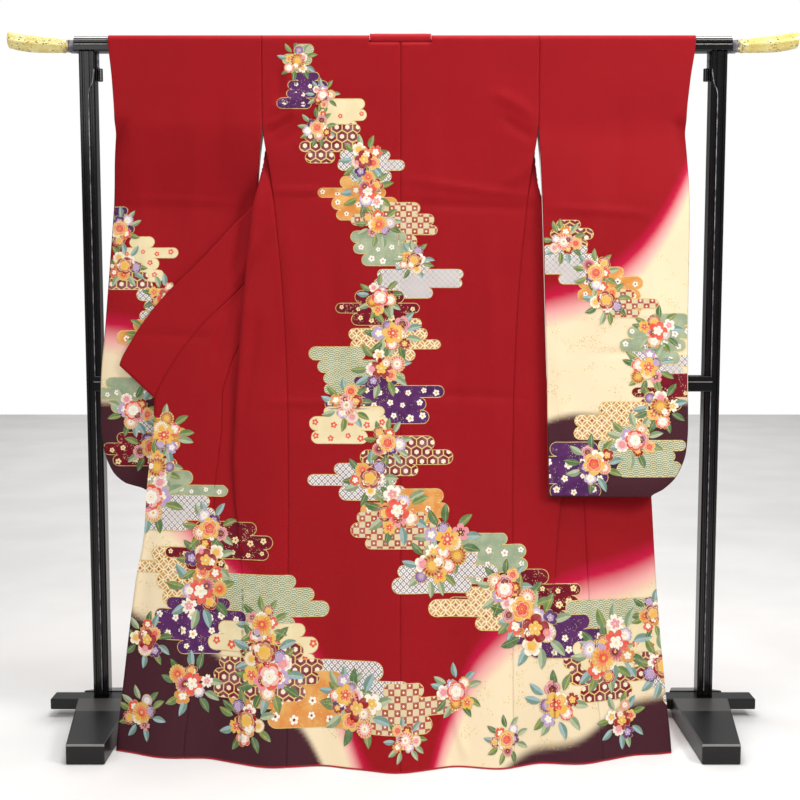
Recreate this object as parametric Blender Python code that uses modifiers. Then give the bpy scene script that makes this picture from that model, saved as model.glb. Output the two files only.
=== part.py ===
"""A furisode laid over the top bar of a lacquered kimono stand.

Metres, +Z up. The garment's back faces -Y and its front hangs behind the bar, at +Y. The stand's own
middle plane is x = 0. Left and right are the wearer's, so the left side is at -X.

Every cloth point is found the same way. A point has a distance outward from the centre-back seam and a
height, and the hanging surface gives its depth: the cloth leaves the bar, swings out towards -Y and
reaches the floor. A layer that lies behind that surface adds its own distance behind it.
"""

import math

import bmesh
import bpy
from mathutils import Matrix, Vector

# Cloth and seams
CLOTH = 0.0016
SEAM_GAP = 0.0003
CENTRE_BACK_X = -0.006
HEM_HEIGHT = 0.0012
SHOULDER_HALF = 0.313
NECK_HALF = 0.070
FRONT_WIDTH = SHOULDER_HALF - NECK_HALF
OKUMI_WIDTH = 0.155
OKUMI_TOP_HEIGHT = 1.36
FOLD_CLEARANCE = 0.014
COLLAR_WIDTH = 0.110
COLLAR_FOOT = 0.760
OVER_COLLAR = 0.0020

# The path of the cloth over the bar
WRAP_HALF_DEPTH = 0.0215
WRAP_TOP = 1.5771
WRAP_RADIUS = 0.012
WRAP_FOOT = 1.560
COLLAR_TOP = 1.5808
COLLAR_REAR = 0.0270
COLLAR_CLEARANCE = 0.0045

# The hanging surface
HANG_HEIGHT = 1.56
HEM_REACH = 0.323
HEM_REACH_LOSS = 0.27
HANG_POWER = 2.2

# Stand
POST_X = 0.7145
POST_WIDTH = 0.036
BAR_HALF_LENGTH = 0.743
BAR_HALF_DEPTH = 0.0175
BAR_BOTTOM = 1.5415
BAR_TOP = 1.5760
MIDDLE_BAR_HEIGHT = 0.7895
MIDDLE_BAR_THICK = 0.036
MIDDLE_BAR_FRONT = 0.0245
MIDDLE_BAR_REAR = 0.0150
LAP_LENGTH = 0.0195
CROSS_TOP = 0.0445
CROSS_BOTTOM = 0.0190
CROSS_FRONT = -0.030
CROSS_REAR = 0.022
CROSS_INNER = 0.615
CROSS_OUTER = 0.832

# The foot's front block narrows to the front on its outer side only. Its rear wedge narrows and falls
# rearwards.
FOOT_TOP = 0.0475
FOOT_INNER = 0.635
FOOT_FRONT_Y = -0.315
FOOT_FRONT_TOP = 0.0435
FOOT_OUTER_FRONT = 0.717
FOOT_OUTER_REAR = 0.766
WEDGE_INNER = 0.640
WEDGE_REAR_Y = 0.120
WEDGE_REAR_TOP = 0.022
WEDGE_REAR_INNER = 0.665
WEDGE_REAR_OUTER = 0.745

# Each post's flutes, and the rod and knob under the top bar at its inner face
FLUTE_START = 0.007
FLUTE_WIDTH = 0.006
FLUTE_DEPTH = 0.002
FLUTE_LIP = 0.0015
POST_CHAMFER = 0.003
ROD_RADIUS = 0.0033
ROD_LENGTH = 0.0350
ROD_HEIGHT = 1.5236
KNOB_RADIUS = 0.0070
KNOB_LENGTH = 0.0285
KNOB_HEIGHT = 1.4915

# The grey collar on each end of the top bar
BAR_COLLAR_LENGTH = 0.0135
BAR_COLLAR_HALF_DEPTH = 0.0135
BAR_COLLAR_HALF_HEIGHT = 0.0130
BAR_COLLAR_MIDDLE = 1.5545

LACQUER = "black_lacquer"
GILT = "gilt"
STEEL = "grey_metal"
SATIN = "red_satin"

MATERIALS = {
    LACQUER: ((0.012, 0.010, 0.011, 1), 0.18, 0.0),
    GILT: ((0.78, 0.62, 0.28, 1), 0.35, 0.9),
    STEEL: ((0.42, 0.42, 0.42, 1), 0.3, 0.9),
    SATIN: ((0.43, 0.012, 0.020, 1), 0.5, 0.0),
}


class Table:
    """Rows of named columns, read at any value of the first column by smooth curves that never overshoot."""

    def __init__(self, columns, rows):
        self.columns = columns.split()
        self.rows = sorted(rows)

    def at(self, value, column):
        k = self.columns.index(column)
        xs = [row[0] for row in self.rows]
        ys = [row[k] for row in self.rows]
        if value <= xs[0]:
            return ys[0]
        if value >= xs[-1]:
            return ys[-1]
        i = max(j for j, x in enumerate(xs) if x <= value)
        rise = [(ys[j + 1] - ys[j]) / (xs[j + 1] - xs[j]) for j in range(len(xs) - 1)]

        def slope(j):
            if j == 0 or j == len(xs) - 1 or rise[j - 1] * rise[j] <= 0:
                return 0.0
            return 2 * rise[j - 1] * rise[j] / (rise[j - 1] + rise[j])

        step = xs[i + 1] - xs[i]
        t = (value - xs[i]) / step
        return (
            ys[i] * (1 + 2 * t) * (1 - t) ** 2
            + ys[i + 1] * t * t * (3 - 2 * t)
            + step * slope(i) * t * (1 - t) ** 2
            - step * slope(i + 1) * t * t * (1 - t)
        )


# Soft upright waves low on the hanging surface: where each meets the floor, how far it drifts inward by its
# top, how far it pushes to the front, its half width and the height at which it has died out
WAVES = (
    (-0.530, 0.03, 0.010, 0.050, 0.50),
    (-0.420, 0.04, -0.012, 0.045, 0.62),
    (-0.290, 0.00, 0.013, 0.050, 0.80),
    (-0.170, 0.02, -0.012, 0.045, 0.90),
    (-0.015, 0.00, 0.020, 0.060, 0.55),
    (0.110, -0.03, -0.012, 0.045, 0.95),
    (0.205, 0.00, 0.009, 0.040, 0.75),
    (0.290, 0.04, -0.011, 0.040, 0.85),
    (0.385, 0.00, 0.010, 0.045, 0.50),
    (0.500, 0.02, -0.010, 0.045, 0.45),
)

# Half width of the back at each height, from the centre-back seam to the side seam
BACK = Table(
    "height side",
    [
        (0.00, 0.241),
        (0.33, 0.247),
        (0.54, 0.250),
        (0.76, 0.255),
        (0.96, 0.265),
        (1.19, 0.286),
        (1.27, 0.296),
        (1.388, 0.313),
        (1.57, 0.313),
    ],
)

# Level cuts through each front panel. From the side seam the cloth runs out to a fold, back in behind
# itself to a second fold, and out again to the collar seam or free edge. "ease" is the most cloth that the
# two folds may hold at that height, and "behind_" is each place's distance behind the hanging surface.
FRONT_COLUMNS = "height seam fold edge ease behind_seam behind_fold behind_inner behind_edge"
FRONT = {
    -1: Table(
        FRONT_COLUMNS,
        [
            (0.00, 0.241, 0.340, 0.622, 0.00, 0.000, 0.000, 0.000, 0.000),
            (0.13, 0.243, 0.342, 0.613, 0.00, 0.000, 0.000, 0.000, 0.000),
            (0.35, 0.247, 0.348, 0.593, 0.00, 0.000, 0.000, 0.000, 0.000),
            (0.46, 0.249, 0.360, 0.577, 0.02, 0.000, 0.000, 0.004, 0.004),
            (0.56, 0.250, 0.372, 0.573, 0.06, 0.000, -0.001, 0.007, 0.009),
            (0.63, 0.2525, 0.376, 0.566, 0.50, 0.000, -0.002, 0.009, 0.008),
            (0.70, 0.2545, 0.374, 0.560, 0.50, 0.000, -0.003, 0.010, 0.009),
            (0.753, 0.255, 0.372, 0.560, 0.50, 0.000, -0.003, 0.011, 0.010),
            (0.817, 0.257, 0.369, 0.532, 0.50, 0.000, -0.003, 0.012, 0.011),
            (0.914, 0.262, 0.362, 0.462, 0.50, 0.000, -0.003, 0.012, 0.014),
            (1.00, 0.268, 0.356, 0.375, 0.50, 0.000, -0.003, 0.012, 0.018),
            (1.10, 0.277, 0.346, 0.282, 0.50, 0.000, -0.003, 0.014, 0.022),
            (1.19, 0.286, 0.336, 0.190, 0.50, 0.000, -0.003, 0.018, 0.027),
            (1.25, 0.294, 0.322, 0.135, 0.50, 0.003, 0.003, 0.024, 0.036),
            (1.30, 0.302, 0.312, 0.100, 0.50, 0.020, 0.018, 0.040, 0.044),
            (1.36, 0.309, 0.309, 0.075, 0.50, 0.043, 0.043, 0.045, 0.046),
            (1.388, 0.313, 0.313, 0.070, 0.50, 0.044, 0.044, 0.044, 0.044),
            (1.57, 0.313, 0.313, 0.070, 0.50, 0.043, 0.043, 0.043, 0.043),
        ],
    ),
    1: Table(
        FRONT_COLUMNS,
        [
            (0.00, 0.241, 0.330, 0.590, 0.00, 0.000, 0.000, 0.000, 0.000),
            (0.13, 0.243, 0.332, 0.582, 0.00, 0.000, 0.000, 0.000, 0.000),
            (0.31, 0.247, 0.336, 0.572, 0.00, 0.000, 0.000, 0.000, 0.000),
            (0.42, 0.249, 0.345, 0.569, 0.03, 0.000, 0.000, 0.004, 0.004),
            (0.55, 0.250, 0.360, 0.566, 0.07, 0.000, -0.001, 0.007, 0.010),
            (0.63, 0.2525, 0.372, 0.560, 0.50, 0.000, -0.002, 0.009, 0.014),
            (0.70, 0.2545, 0.372, 0.545, 0.50, 0.000, -0.003, 0.010, 0.016),
            (0.753, 0.255, 0.370, 0.535, 0.50, 0.000, -0.003, 0.011, 0.018),
            (0.817, 0.257, 0.366, 0.505, 0.50, 0.000, -0.003, 0.012, 0.021),
            (0.914, 0.262, 0.360, 0.445, 0.50, 0.000, -0.003, 0.012, 0.021),
            (1.00, 0.268, 0.354, 0.370, 0.50, 0.000, -0.003, 0.012, 0.021),
            (1.10, 0.277, 0.344, 0.282, 0.50, 0.000, -0.003, 0.014, 0.022),
            (1.19, 0.286, 0.328, 0.190, 0.50, 0.000, -0.001, 0.018, 0.027),
            (1.25, 0.294, 0.312, 0.135, 0.50, 0.003, 0.004, 0.024, 0.036),
            (1.30, 0.302, 0.308, 0.100, 0.50, 0.020, 0.020, 0.040, 0.044),
            (1.36, 0.309, 0.309, 0.075, 0.50, 0.043, 0.043, 0.045, 0.046),
            (1.388, 0.313, 0.313, 0.070, 0.50, 0.044, 0.044, 0.044, 0.044),
            (1.57, 0.313, 0.313, 0.070, 0.50, 0.043, 0.043, 0.043, 0.043),
        ],
    ),
}

# Each sleeve: its inner and outer edge, the near wall's distance behind the hanging surface at the armhole,
# and the space between its walls. The left sleeve hangs behind its front panel and the right one before it.
SLEEVE_COLUMNS = "height inner outer behind space"
SLEEVE = {
    -1: Table(
        SLEEVE_COLUMNS,
        [
            (0.549, 0.345, 0.587, 0.0735, 0.010),
            (0.565, 0.345, 0.633, 0.0715, 0.010),
            (0.593, 0.345, 0.662, 0.0670, 0.011),
            (0.646, 0.345, 0.681, 0.0570, 0.011),
            (0.700, 0.344, 0.687, 0.0495, 0.011),
            (0.790, 0.343, 0.687, 0.0410, 0.011),
            (0.914, 0.341, 0.678, 0.0350, 0.011),
            (1.000, 0.340, 0.672, 0.0330, 0.011),
            (1.070, 0.338, 0.667, 0.0330, 0.011),
            (1.190, 0.331, 0.659, 0.0360, 0.011),
            (1.245, 0.326, 0.655, 0.0260, 0.013),
            (1.300, 0.321, 0.652, 0.0130, 0.022),
            (1.388, 0.3133, 0.647, 0.000, 0.043),
            (1.477, 0.3133, 0.651, 0.000, 0.043),
            (1.570, 0.3133, 0.658, 0.000, 0.043),
        ],
    ),
    1: Table(
        SLEEVE_COLUMNS,
        [
            (0.549, 0.328, 0.556, -0.024, 0.012),
            (0.565, 0.328, 0.583, -0.024, 0.012),
            (0.593, 0.328, 0.613, -0.024, 0.012),
            (0.646, 0.328, 0.636, -0.024, 0.012),
            (0.700, 0.328, 0.642, -0.024, 0.012),
            (0.790, 0.328, 0.644, -0.024, 0.012),
            (0.914, 0.326, 0.646, -0.023, 0.012),
            (1.070, 0.323, 0.650, -0.022, 0.012),
            (1.190, 0.320, 0.652, -0.020, 0.012),
            (1.245, 0.318, 0.651, -0.016, 0.013),
            (1.300, 0.316, 0.649, -0.010, 0.022),
            (1.388, 0.3133, 0.647, 0.000, 0.043),
            (1.477, 0.3133, 0.654, 0.000, 0.043),
            (1.570, 0.3133, 0.665, 0.000, 0.043),
        ],
    ),
}
CUFF_FOOT = 1.350
CUFF_OPEN = 1.395

# The collar round the neck, laid out flat, by the distance along its seam from the centre back. Each place
# is its distance outward and its distance over the bar from the back neckline. A row crosses the strip from
# its seam over a bend to its free edge. Lower down the strip turns back outward at the bend, and "behind" is
# how far its outer part then lies behind its inner part.
COLLAR_NECK = Table(
    "along seam_out seam_down bend_out bend_down edge_out edge_down behind",
    [
        (0.0000, 0.0000, 0.0006, 0.0000, 0.0550, 0.000, 0.110, 0.0000),
        (0.0175, 0.0175, 0.0006, 0.0110, 0.0560, 0.004, 0.112, 0.0000),
        (0.0350, 0.0350, 0.0006, 0.0215, 0.0575, 0.008, 0.115, 0.0000),
        (0.0520, 0.0520, 0.0006, 0.0315, 0.0595, 0.011, 0.119, 0.0000),
        (0.0690, 0.0685, 0.0020, 0.0410, 0.0630, 0.014, 0.124, 0.0000),
        (0.0940, 0.0690, 0.0250, 0.0430, 0.0775, 0.016, 0.130, 0.0000),
        (0.1190, 0.0690, 0.0500, 0.0430, 0.0930, 0.017, 0.137, 0.0000),
        (0.1440, 0.0690, 0.0750, 0.0420, 0.1100, 0.017, 0.145, 0.0000),
        (0.1690, 0.0690, 0.1000, 0.0390, 0.1270, 0.016, 0.156, 0.0010),
        (0.1990, 0.0690, 0.1300, 0.0340, 0.1520, 0.018, 0.172, 0.0030),
        (0.2290, 0.0690, 0.1600, 0.0280, 0.1760, 0.030, 0.190, 0.0050),
        (0.2590, 0.0690, 0.1900, 0.0240, 0.2000, 0.055, 0.205, 0.0060),
        (0.2890, 0.0690, 0.2200, 0.0260, 0.2280, 0.085, 0.228, 0.0070),
        (0.3190, 0.0700, 0.2500, 0.0340, 0.2560, 0.115, 0.252, 0.0070),
        (0.3480, 0.0740, 0.2790, 0.0480, 0.2820, 0.140, 0.272, 0.0065),
    ],
)
NECK_STATIONS = (
    [0.0, 0.0175, 0.035, 0.052, 0.069]
    + [0.0775, 0.087, 0.0965, 0.109, 0.121, 0.1305, 0.140, 0.150]
    + [0.170, 0.199, 0.229, 0.259, 0.289, 0.319, 0.348]
)
# How far the collar's free edge is turned from straight down towards straight out and up, level by level
COLLAR_TURN = Table(
    "height turn",
    [(0.753, 132), (1.10, 132), (1.19, 130), (1.25, 122), (1.30, 113), (1.36, 100)],
)


def smooth(t):
    t = min(1.0, max(0.0, t))
    return t * t * (3 - 2 * t)


def lerp(a, b, t):
    return a + (b - a) * t


def spread(start, end, count):
    """Evenly spaced values from start to end, both included."""
    return [lerp(start, end, i / count) for i in range(count + 1)]


def resting_y(x, height):
    """Depth of the hanging surface without its waves, at the stand's x and a height."""
    drop = max(0.0, 1 - height / HANG_HEIGHT)
    return -WRAP_HALF_DEPTH - (HEM_REACH - HEM_REACH_LOSS * x * x) * drop**HANG_POWER


def hanging_y(x, height):
    y = resting_y(x, height)
    for foot, drift, push, width, top in WAVES:
        if height < top:
            centre = foot - math.copysign(drift, foot) * height / top
            fade = (1 - height / top) ** 1.5
            y -= push * fade * math.exp(-(((x - centre) / width) ** 2))
    return y


def cloth_point(side, outward, height, behind=0.0):
    x = CENTRE_BACK_X + side * outward
    return Vector((x, hanging_y(x, height) + behind, height))


def over_bar(distance, top, front, rear):
    """(y, z) after going some distance up the bar's front from WRAP_FOOT, over its top and down its rear."""
    rise = top - WRAP_RADIUS - WRAP_FOOT
    bend = WRAP_RADIUS * math.pi / 2
    flat = front + rear - 2 * WRAP_RADIUS
    if distance <= rise:
        return -front, WRAP_FOOT + distance
    distance -= rise
    if distance <= bend:
        angle = distance / WRAP_RADIUS
        return (
            -front + WRAP_RADIUS * (1 - math.cos(angle)),
            top - WRAP_RADIUS * (1 - math.sin(angle)),
        )
    distance -= bend
    if distance <= flat:
        return -front + WRAP_RADIUS + distance, top
    distance -= flat
    if distance <= bend:
        angle = distance / WRAP_RADIUS
        return (
            rear - WRAP_RADIUS * (1 - math.sin(angle)),
            top - WRAP_RADIUS * (1 - math.cos(angle)),
        )
    return rear, top - WRAP_RADIUS - (distance - bend)


def over_bar_length(top, front, rear):
    """The distance from WRAP_FOOT in front, over the bar, to the same height behind it."""
    rise = top - WRAP_RADIUS - WRAP_FOOT
    return 2 * rise + WRAP_RADIUS * math.pi + front + rear - 2 * WRAP_RADIUS


def wrap_rows():
    """(y, z) of the cloth's rows over the bar, between the last back row and the first front row."""
    length = over_bar_length(WRAP_TOP, WRAP_HALF_DEPTH, WRAP_HALF_DEPTH)
    rise = WRAP_TOP - WRAP_RADIUS - WRAP_FOOT
    bend = WRAP_RADIUS * math.pi / 2
    front = [rise, rise + bend / 2, rise + bend]
    stops = front + [length - stop for stop in reversed(front)]
    return [over_bar(s, WRAP_TOP, WRAP_HALF_DEPTH, WRAP_HALF_DEPTH) for s in stops]


def okumi_cut(height):
    """The okumi's width where the collar seam cuts it, and its whole width below the collar."""
    share = (OKUMI_TOP_HEIGHT - height) / (OKUMI_TOP_HEIGHT - COLLAR_FOOT)
    return OKUMI_WIDTH * min(1.0, max(0.0, share))


def okumi_width(side, height):
    """The okumi starts clear of the inner fold, so that its seam lies on the flat."""
    points = front_section(side, height)
    return max(0.0, min(okumi_cut(height), chain_length(points[5:]) - FOLD_CLEARANCE))


def front_section(side, height):
    """(outward, behind) points of a level cut, from the side seam to the collar seam or free edge, with the
    place of both folds in the list."""
    row = {name: FRONT[side].at(height, name) for name in FRONT_COLUMNS.split()}
    straight = row["edge"] - row["seam"]
    width = min(FRONT_WIDTH + okumi_cut(height), abs(straight) + row["ease"])
    inner = (2 * row["fold"] - row["seam"] + row["edge"] - width) / 2
    inner = min(inner, row["fold"])
    outer_turn = min(1.0, (row["fold"] - row["seam"]) / 0.03, (row["fold"] - inner) / 0.03)
    inner_turn = min(1.0, (row["fold"] - inner) / 0.03, max(0.0, row["edge"] - inner) / 0.03)
    outer_turn = max(0.0, outer_turn)
    step, half = 0.010, 0.0030
    b_fold, b_inner = row["behind_fold"], row["behind_inner"]
    points = [
        (row["seam"], row["behind_seam"]),
        (row["fold"] - step * outer_turn, b_fold - half * outer_turn * 0.3),
        (row["fold"], b_fold + half * outer_turn),
        (row["fold"] - step * outer_turn, b_fold + 2 * half * outer_turn),
        (inner + step * inner_turn, b_inner - 2 * half * inner_turn),
        (inner, b_inner - half * inner_turn),
        (inner + step * inner_turn, b_inner),
        (row["edge"], row["behind_edge"]),
    ]
    return points


def along(points, distance):
    """The point at a distance along a chain of points."""
    for a, b in zip(points, points[1:]):
        step = math.hypot(b[0] - a[0], b[1] - a[1])
        if distance <= step and step > 0:
            t = distance / step
            return lerp(a[0], b[0], t), lerp(a[1], b[1], t)
        distance -= step
    return points[-1]


def chain_length(points):
    return sum(math.hypot(b[0] - a[0], b[1] - a[1]) for a, b in zip(points, points[1:]))


FOLD_COLUMNS, INNER_COLUMNS, EDGE_COLUMNS = 4, 4, 3
BODY_COLUMNS = FOLD_COLUMNS + INNER_COLUMNS + EDGE_COLUMNS
NECK_COLUMNS = 3
OKUMI_COLUMNS = 4


def front_distances(side, height):
    """How far along a level cut each column of the front lies, with columns kept on the folds."""
    points = front_section(side, height)
    whole = chain_length(points) - okumi_width(side, height)
    at_fold = min(max(chain_length(points[:3]), 0.18 * whole), 0.55 * whole)
    at_inner = min(max(chain_length(points[:6]), at_fold + 0.25 * whole), 0.88 * whole)
    first = spread(SEAM_GAP / 2, at_fold, FOLD_COLUMNS)
    second = spread(at_fold, at_inner, INNER_COLUMNS)
    third = spread(at_inner, whole - SEAM_GAP / 2, EDGE_COLUMNS)
    return first + second[1:] + third[1:]


def front_row(side, height):
    points = front_section(side, height)
    row = []
    for distance in front_distances(side, height):
        outward, behind = along(points, distance)
        row.append(cloth_point(side, outward, height, behind))
    return row


def shoulder_outwards(side):
    """Outward distance of each column where the cloth lies over the bar, from the armhole to the neck."""
    return [SHOULDER_HALF - d for d in front_distances(side, 1.57)]


def back_outwards(side, height):
    """Outward distance of each column of the back, from the side seam to the centre-back seam."""
    edge = BACK.at(height, "side") - SEAM_GAP / 2
    top = shoulder_outwards(side) + spread(NECK_HALF, SEAM_GAP / 2, NECK_COLUMNS)[1:]
    even = spread(edge, SEAM_GAP / 2, BODY_COLUMNS + NECK_COLUMNS)
    top[0] = edge
    blend = smooth((height - 1.25) / 0.30)
    return [lerp(a, b, blend) for a, b in zip(even, top)]


BACK_LEVELS = (
    [HEM_HEIGHT, 0.05, 0.10]
    + spread(0.16, 1.12, 15)
    + [1.18, 1.235, 1.29, 1.34, 1.388, 1.44, 1.50, WRAP_FOOT]
)
COLLAR_LEVELS = [1.275, 1.25, 1.22, 1.19, 1.145] + spread(1.10, COLLAR_FOOT, 7)
OKUMI_LEVELS = COLLAR_LEVELS + spread(0.71, 0.16, 10) + [0.10, 0.05, HEM_HEIGHT]
FRONT_LEVELS = [WRAP_FOOT, 1.50, 1.44, 1.388, 1.36, 1.33, 1.30] + OKUMI_LEVELS


def body_rows(side):
    rows = []
    for height in BACK_LEVELS:
        rows.append([cloth_point(side, w, height) for w in back_outwards(side, height)])
    missing = [None] * NECK_COLUMNS
    for y, z in wrap_rows():
        row = [Vector((CENTRE_BACK_X + side * w, y, z)) for w in shoulder_outwards(side)]
        rows.append(row + missing)
    for height in FRONT_LEVELS:
        rows.append(front_row(side, height) + missing)
    return rows


def okumi_rows(side):
    rows = []
    for height in OKUMI_LEVELS:
        points = front_section(side, height)
        whole = chain_length(points)
        start = whole - okumi_width(side, height) + SEAM_GAP / 2
        end = whole - SEAM_GAP / 2
        row = []
        for distance in spread(start, end, OKUMI_COLUMNS):
            outward, behind = along(points, distance)
            row.append(cloth_point(side, outward, height, behind))
        rows.append(row)
    return rows


SLEEVE_SHARES = (0, 0.11, 0.24, 0.37, 0.50, 0.63, 0.76, 0.88, 0.97, 1)
SLEEVE_LEVELS = (
    [0.549, 0.557, 0.570, 0.593, 0.620, 0.655]
    + spread(0.70, 1.15, 7)
    + [1.20, 1.245, 1.29, 1.32, CUFF_FOOT, 1.3725, CUFF_OPEN, 1.45, 1.51, WRAP_FOOT]
)


def sleeve_space(side, share, height):
    """Half the space between a sleeve's walls. It closes along the sewn outer edge and bottom."""
    space = SLEEVE[side].at(height, "space") / 2
    bottom = math.sqrt(smooth((height - SLEEVE_LEVELS[0]) / 0.03))
    outer = math.sqrt(smooth((1 - share) / 0.12))
    cuff = smooth((height - CUFF_FOOT) / (CUFF_OPEN - CUFF_FOOT))
    return space * bottom * max(outer, cuff)


def sleeve_row(side, height, wall):
    """One level of a sleeve's near wall (-1) or far wall (+1), from its inner to its outer edge."""
    table = SLEEVE[side]
    inner, outer = table.at(height, "inner"), table.at(height, "outer")
    middle = resting_y(SHOULDER_HALF, height) + table.at(height, "behind") + table.at(height, "space") / 2
    row = []
    for share in SLEEVE_SHARES:
        y = middle + wall * sleeve_space(side, share, height)
        row.append(Vector((CENTRE_BACK_X + side * lerp(inner, outer, share), y, height)))
    return row


def sleeve_rows(side):
    rows = [sleeve_row(side, height, -1) for height in SLEEVE_LEVELS]
    table = SLEEVE[side]
    inner, outer = table.at(1.57, "inner"), table.at(1.57, "outer")
    for y, z in wrap_rows():
        rows.append([Vector((CENTRE_BACK_X + side * lerp(inner, outer, s), y, z)) for s in SLEEVE_SHARES])
    rows += [sleeve_row(side, height, 1) for height in reversed(SLEEVE_LEVELS)]
    return rows


def collar_over_length():
    return over_bar_length(COLLAR_TOP, WRAP_HALF_DEPTH, COLLAR_REAR)


def collar_point(side, outward, down, behind=0.0):
    """A point of the laid-out collar, by its distance over the bar from the back neckline."""
    x = CENTRE_BACK_X + side * outward
    length = collar_over_length()
    if down <= length:
        y, z = over_bar(down, COLLAR_TOP, WRAP_HALF_DEPTH, COLLAR_REAR)
        return Vector((x, y + behind, z))
    height = WRAP_FOOT - (down - length)
    hung = hanging_y(x, height) + FRONT[side].at(height, "behind_edge")
    hung += COLLAR_CLEARANCE * smooth((height - 1.14) / 0.12)
    return Vector((x, lerp(hung, COLLAR_REAR, smooth((height - 1.48) / 0.07)) + behind, height))


COLLAR_SHARES = spread(0, 1, 8)


def collar_row(side, seam_out, seam_down, bend_out, bend_down, edge_out, edge_down, behind):
    """Points across the strip through its bend."""
    points = []
    for share in COLLAR_SHARES:
        if share <= 0.5:
            t = share * 2
            place = lerp(seam_out, bend_out, t), lerp(seam_down, bend_down, t)
            points.append(collar_point(side, *place, behind * 0.5 * t * t))
        else:
            t = share * 2 - 1
            place = lerp(bend_out, edge_out, t), lerp(bend_down, edge_down, t)
            points.append(collar_point(side, *place, behind * (0.5 + 0.5 * smooth(t * 2))))
    return points


def hanging_collar_row(side, height):
    """The strip below the neck lies flat, outward of the front panel's edge."""
    out = FRONT[side].at(height, "edge") + 2 * SEAM_GAP
    down = collar_over_length() + WRAP_FOOT - height
    angle = math.radians(COLLAR_TURN.at(height, "turn"))
    go_out, go_down = COLLAR_WIDTH * math.sin(angle), COLLAR_WIDTH * math.cos(angle)
    bend = out + go_out / 2, down + go_down / 2
    return collar_row(side, out, down, *bend, out + go_out, down + go_down, 0.0)


def collar_rows():
    """The strip from its left end, round the neck, to its right end."""
    halves = {}
    for side in (-1, 1):
        rows = []
        for along_seam in NECK_STATIONS:
            places = [COLLAR_NECK.at(along_seam, name) for name in COLLAR_NECK.columns[1:]]
            rows.append(collar_row(side, *places))
        rows += [hanging_collar_row(side, height) for height in COLLAR_LEVELS]
        halves[side] = rows
    return halves[-1][::-1] + halves[1][1:]


def shortened(rows, gap):
    """The same rows with the first and the last drawn in by a gap."""

    def drawn_in(row, other):
        share = gap / (row[0] - other[0]).length
        return [a.lerp(b, share) for a, b in zip(row, other)]

    return [drawn_in(rows[0], rows[1])] + rows[1:-1] + [drawn_in(rows[-1], rows[-2])]


def make_collar(collection):
    """The over-collar encloses the strip round the neck, and the strip's own ends go on from it."""
    rows = collar_rows()
    first = len(COLLAR_LEVELS) - 1
    last = len(rows) - len(COLLAR_LEVELS)
    gap = SEAM_GAP / 2
    cloth_sheet("collar_left", shortened(rows[: first + 1], gap), collection)
    cloth_sheet("over_collar", shortened(rows[first : last + 1], gap), collection, OVER_COLLAR)
    cloth_sheet("collar_right", shortened(rows[last:], gap), collection)


def new_material(name):
    colour, roughness, metallic = MATERIALS[name]
    material = bpy.data.materials.new(name)
    material.use_nodes = True
    shader = material.node_tree.nodes["Principled BSDF"]
    shader.inputs["Base Color"].default_value = colour
    shader.inputs["Roughness"].default_value = roughness
    shader.inputs["Metallic"].default_value = metallic
    material.diffuse_color = colour
    return material


def add_object(name, data, collection, kind):
    obj = bpy.data.objects.new(name, data)
    collection.objects.link(obj)
    material = new_material(kind)
    material.name = f"{name}_{kind}"
    obj.data.materials.append(material)
    return obj


def cloth_sheet(name, rows, collection, thickness=CLOTH):
    """An open sheet through rows of points, thickened to a wall. Points that meet are sewn."""
    work = bmesh.new()
    verts = [[point and work.verts.new(point) for point in row] for row in rows]
    for low, high in zip(verts, verts[1:]):
        for a, b, c, d in zip(low, low[1:], high[1:], high):
            if None not in (a, b, c, d):
                work.faces.new((a, b, c, d))
    bmesh.ops.remove_doubles(work, verts=work.verts, dist=1e-5)
    bmesh.ops.recalc_face_normals(work, faces=work.faces)
    mesh = bpy.data.meshes.new(name)
    work.to_mesh(mesh)
    work.free()
    mesh.shade_smooth()
    obj = add_object(name, mesh, collection, SATIN)
    wall = obj.modifiers.new("wall", "SOLIDIFY")
    wall.thickness = thickness
    wall.offset = 0
    return obj


def finish_mesh(name, work, collection, kind, bevel=0.0):
    mesh = bpy.data.meshes.new(name)
    work.to_mesh(mesh)
    work.free()
    obj = add_object(name, mesh, collection, kind)
    if bevel:
        edge = obj.modifiers.new("edge", "BEVEL")
        edge.width = bevel
        edge.segments = 2
        edge.limit_method = "ANGLE"
    return obj


def block(name, corner, collection, kind, bevel=0.003):
    """A cube whose eight corners are moved by corner(sx, sy, sz), each sign -1 or +1."""
    work = bmesh.new()
    bmesh.ops.create_cube(work, size=2)
    for vert in work.verts:
        vert.co = corner(*(round(c) for c in vert.co))
    bmesh.ops.recalc_face_normals(work, faces=work.faces)
    return finish_mesh(name, work, collection, kind, bevel)


def cylinder(name, centre, radius, height, collection, kind, bevel=0.0):
    work = bmesh.new()
    bmesh.ops.create_cone(
        work, cap_ends=True, segments=16, radius1=radius, radius2=radius, depth=height,
        matrix=Matrix.Translation(centre),
    )
    obj = finish_mesh(name, work, collection, kind, bevel)
    obj.data.shade_smooth()
    obj.data.set_sharp_from_angle(angle=math.radians(40))
    return obj


def extrusion(name, outline, half_length, collection, kind, along_x):
    """A flat outline extruded both ways: along X from (y, z) points, or along Z from (x, y) points."""
    curve = bpy.data.curves.new(name, "CURVE")
    curve.dimensions = "2D"
    curve.fill_mode = "BOTH"
    curve.extrude = half_length
    spline = curve.splines.new("POLY")
    spline.points.add(len(outline) - 1)
    for point, (u, v) in zip(spline.points, outline):
        point.co = (u, v, 0, 1)
    spline.use_cyclic_u = True
    obj = add_object(name, curve, collection, kind)
    if along_x:
        obj.matrix_world = Matrix(((0, 0, 1, 0), (1, 0, 0, 0), (0, 1, 0, 0), (0, 0, 0, 1)))
    return obj


def soften(obj, width):
    weld = obj.modifiers.new("weld", "WELD")
    weld.merge_threshold = 0.0001
    edge = obj.modifiers.new("edge", "BEVEL")
    edge.width = width
    edge.segments = 2
    edge.limit_method = "ANGLE"
    edge.angle_limit = math.radians(50)


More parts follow.
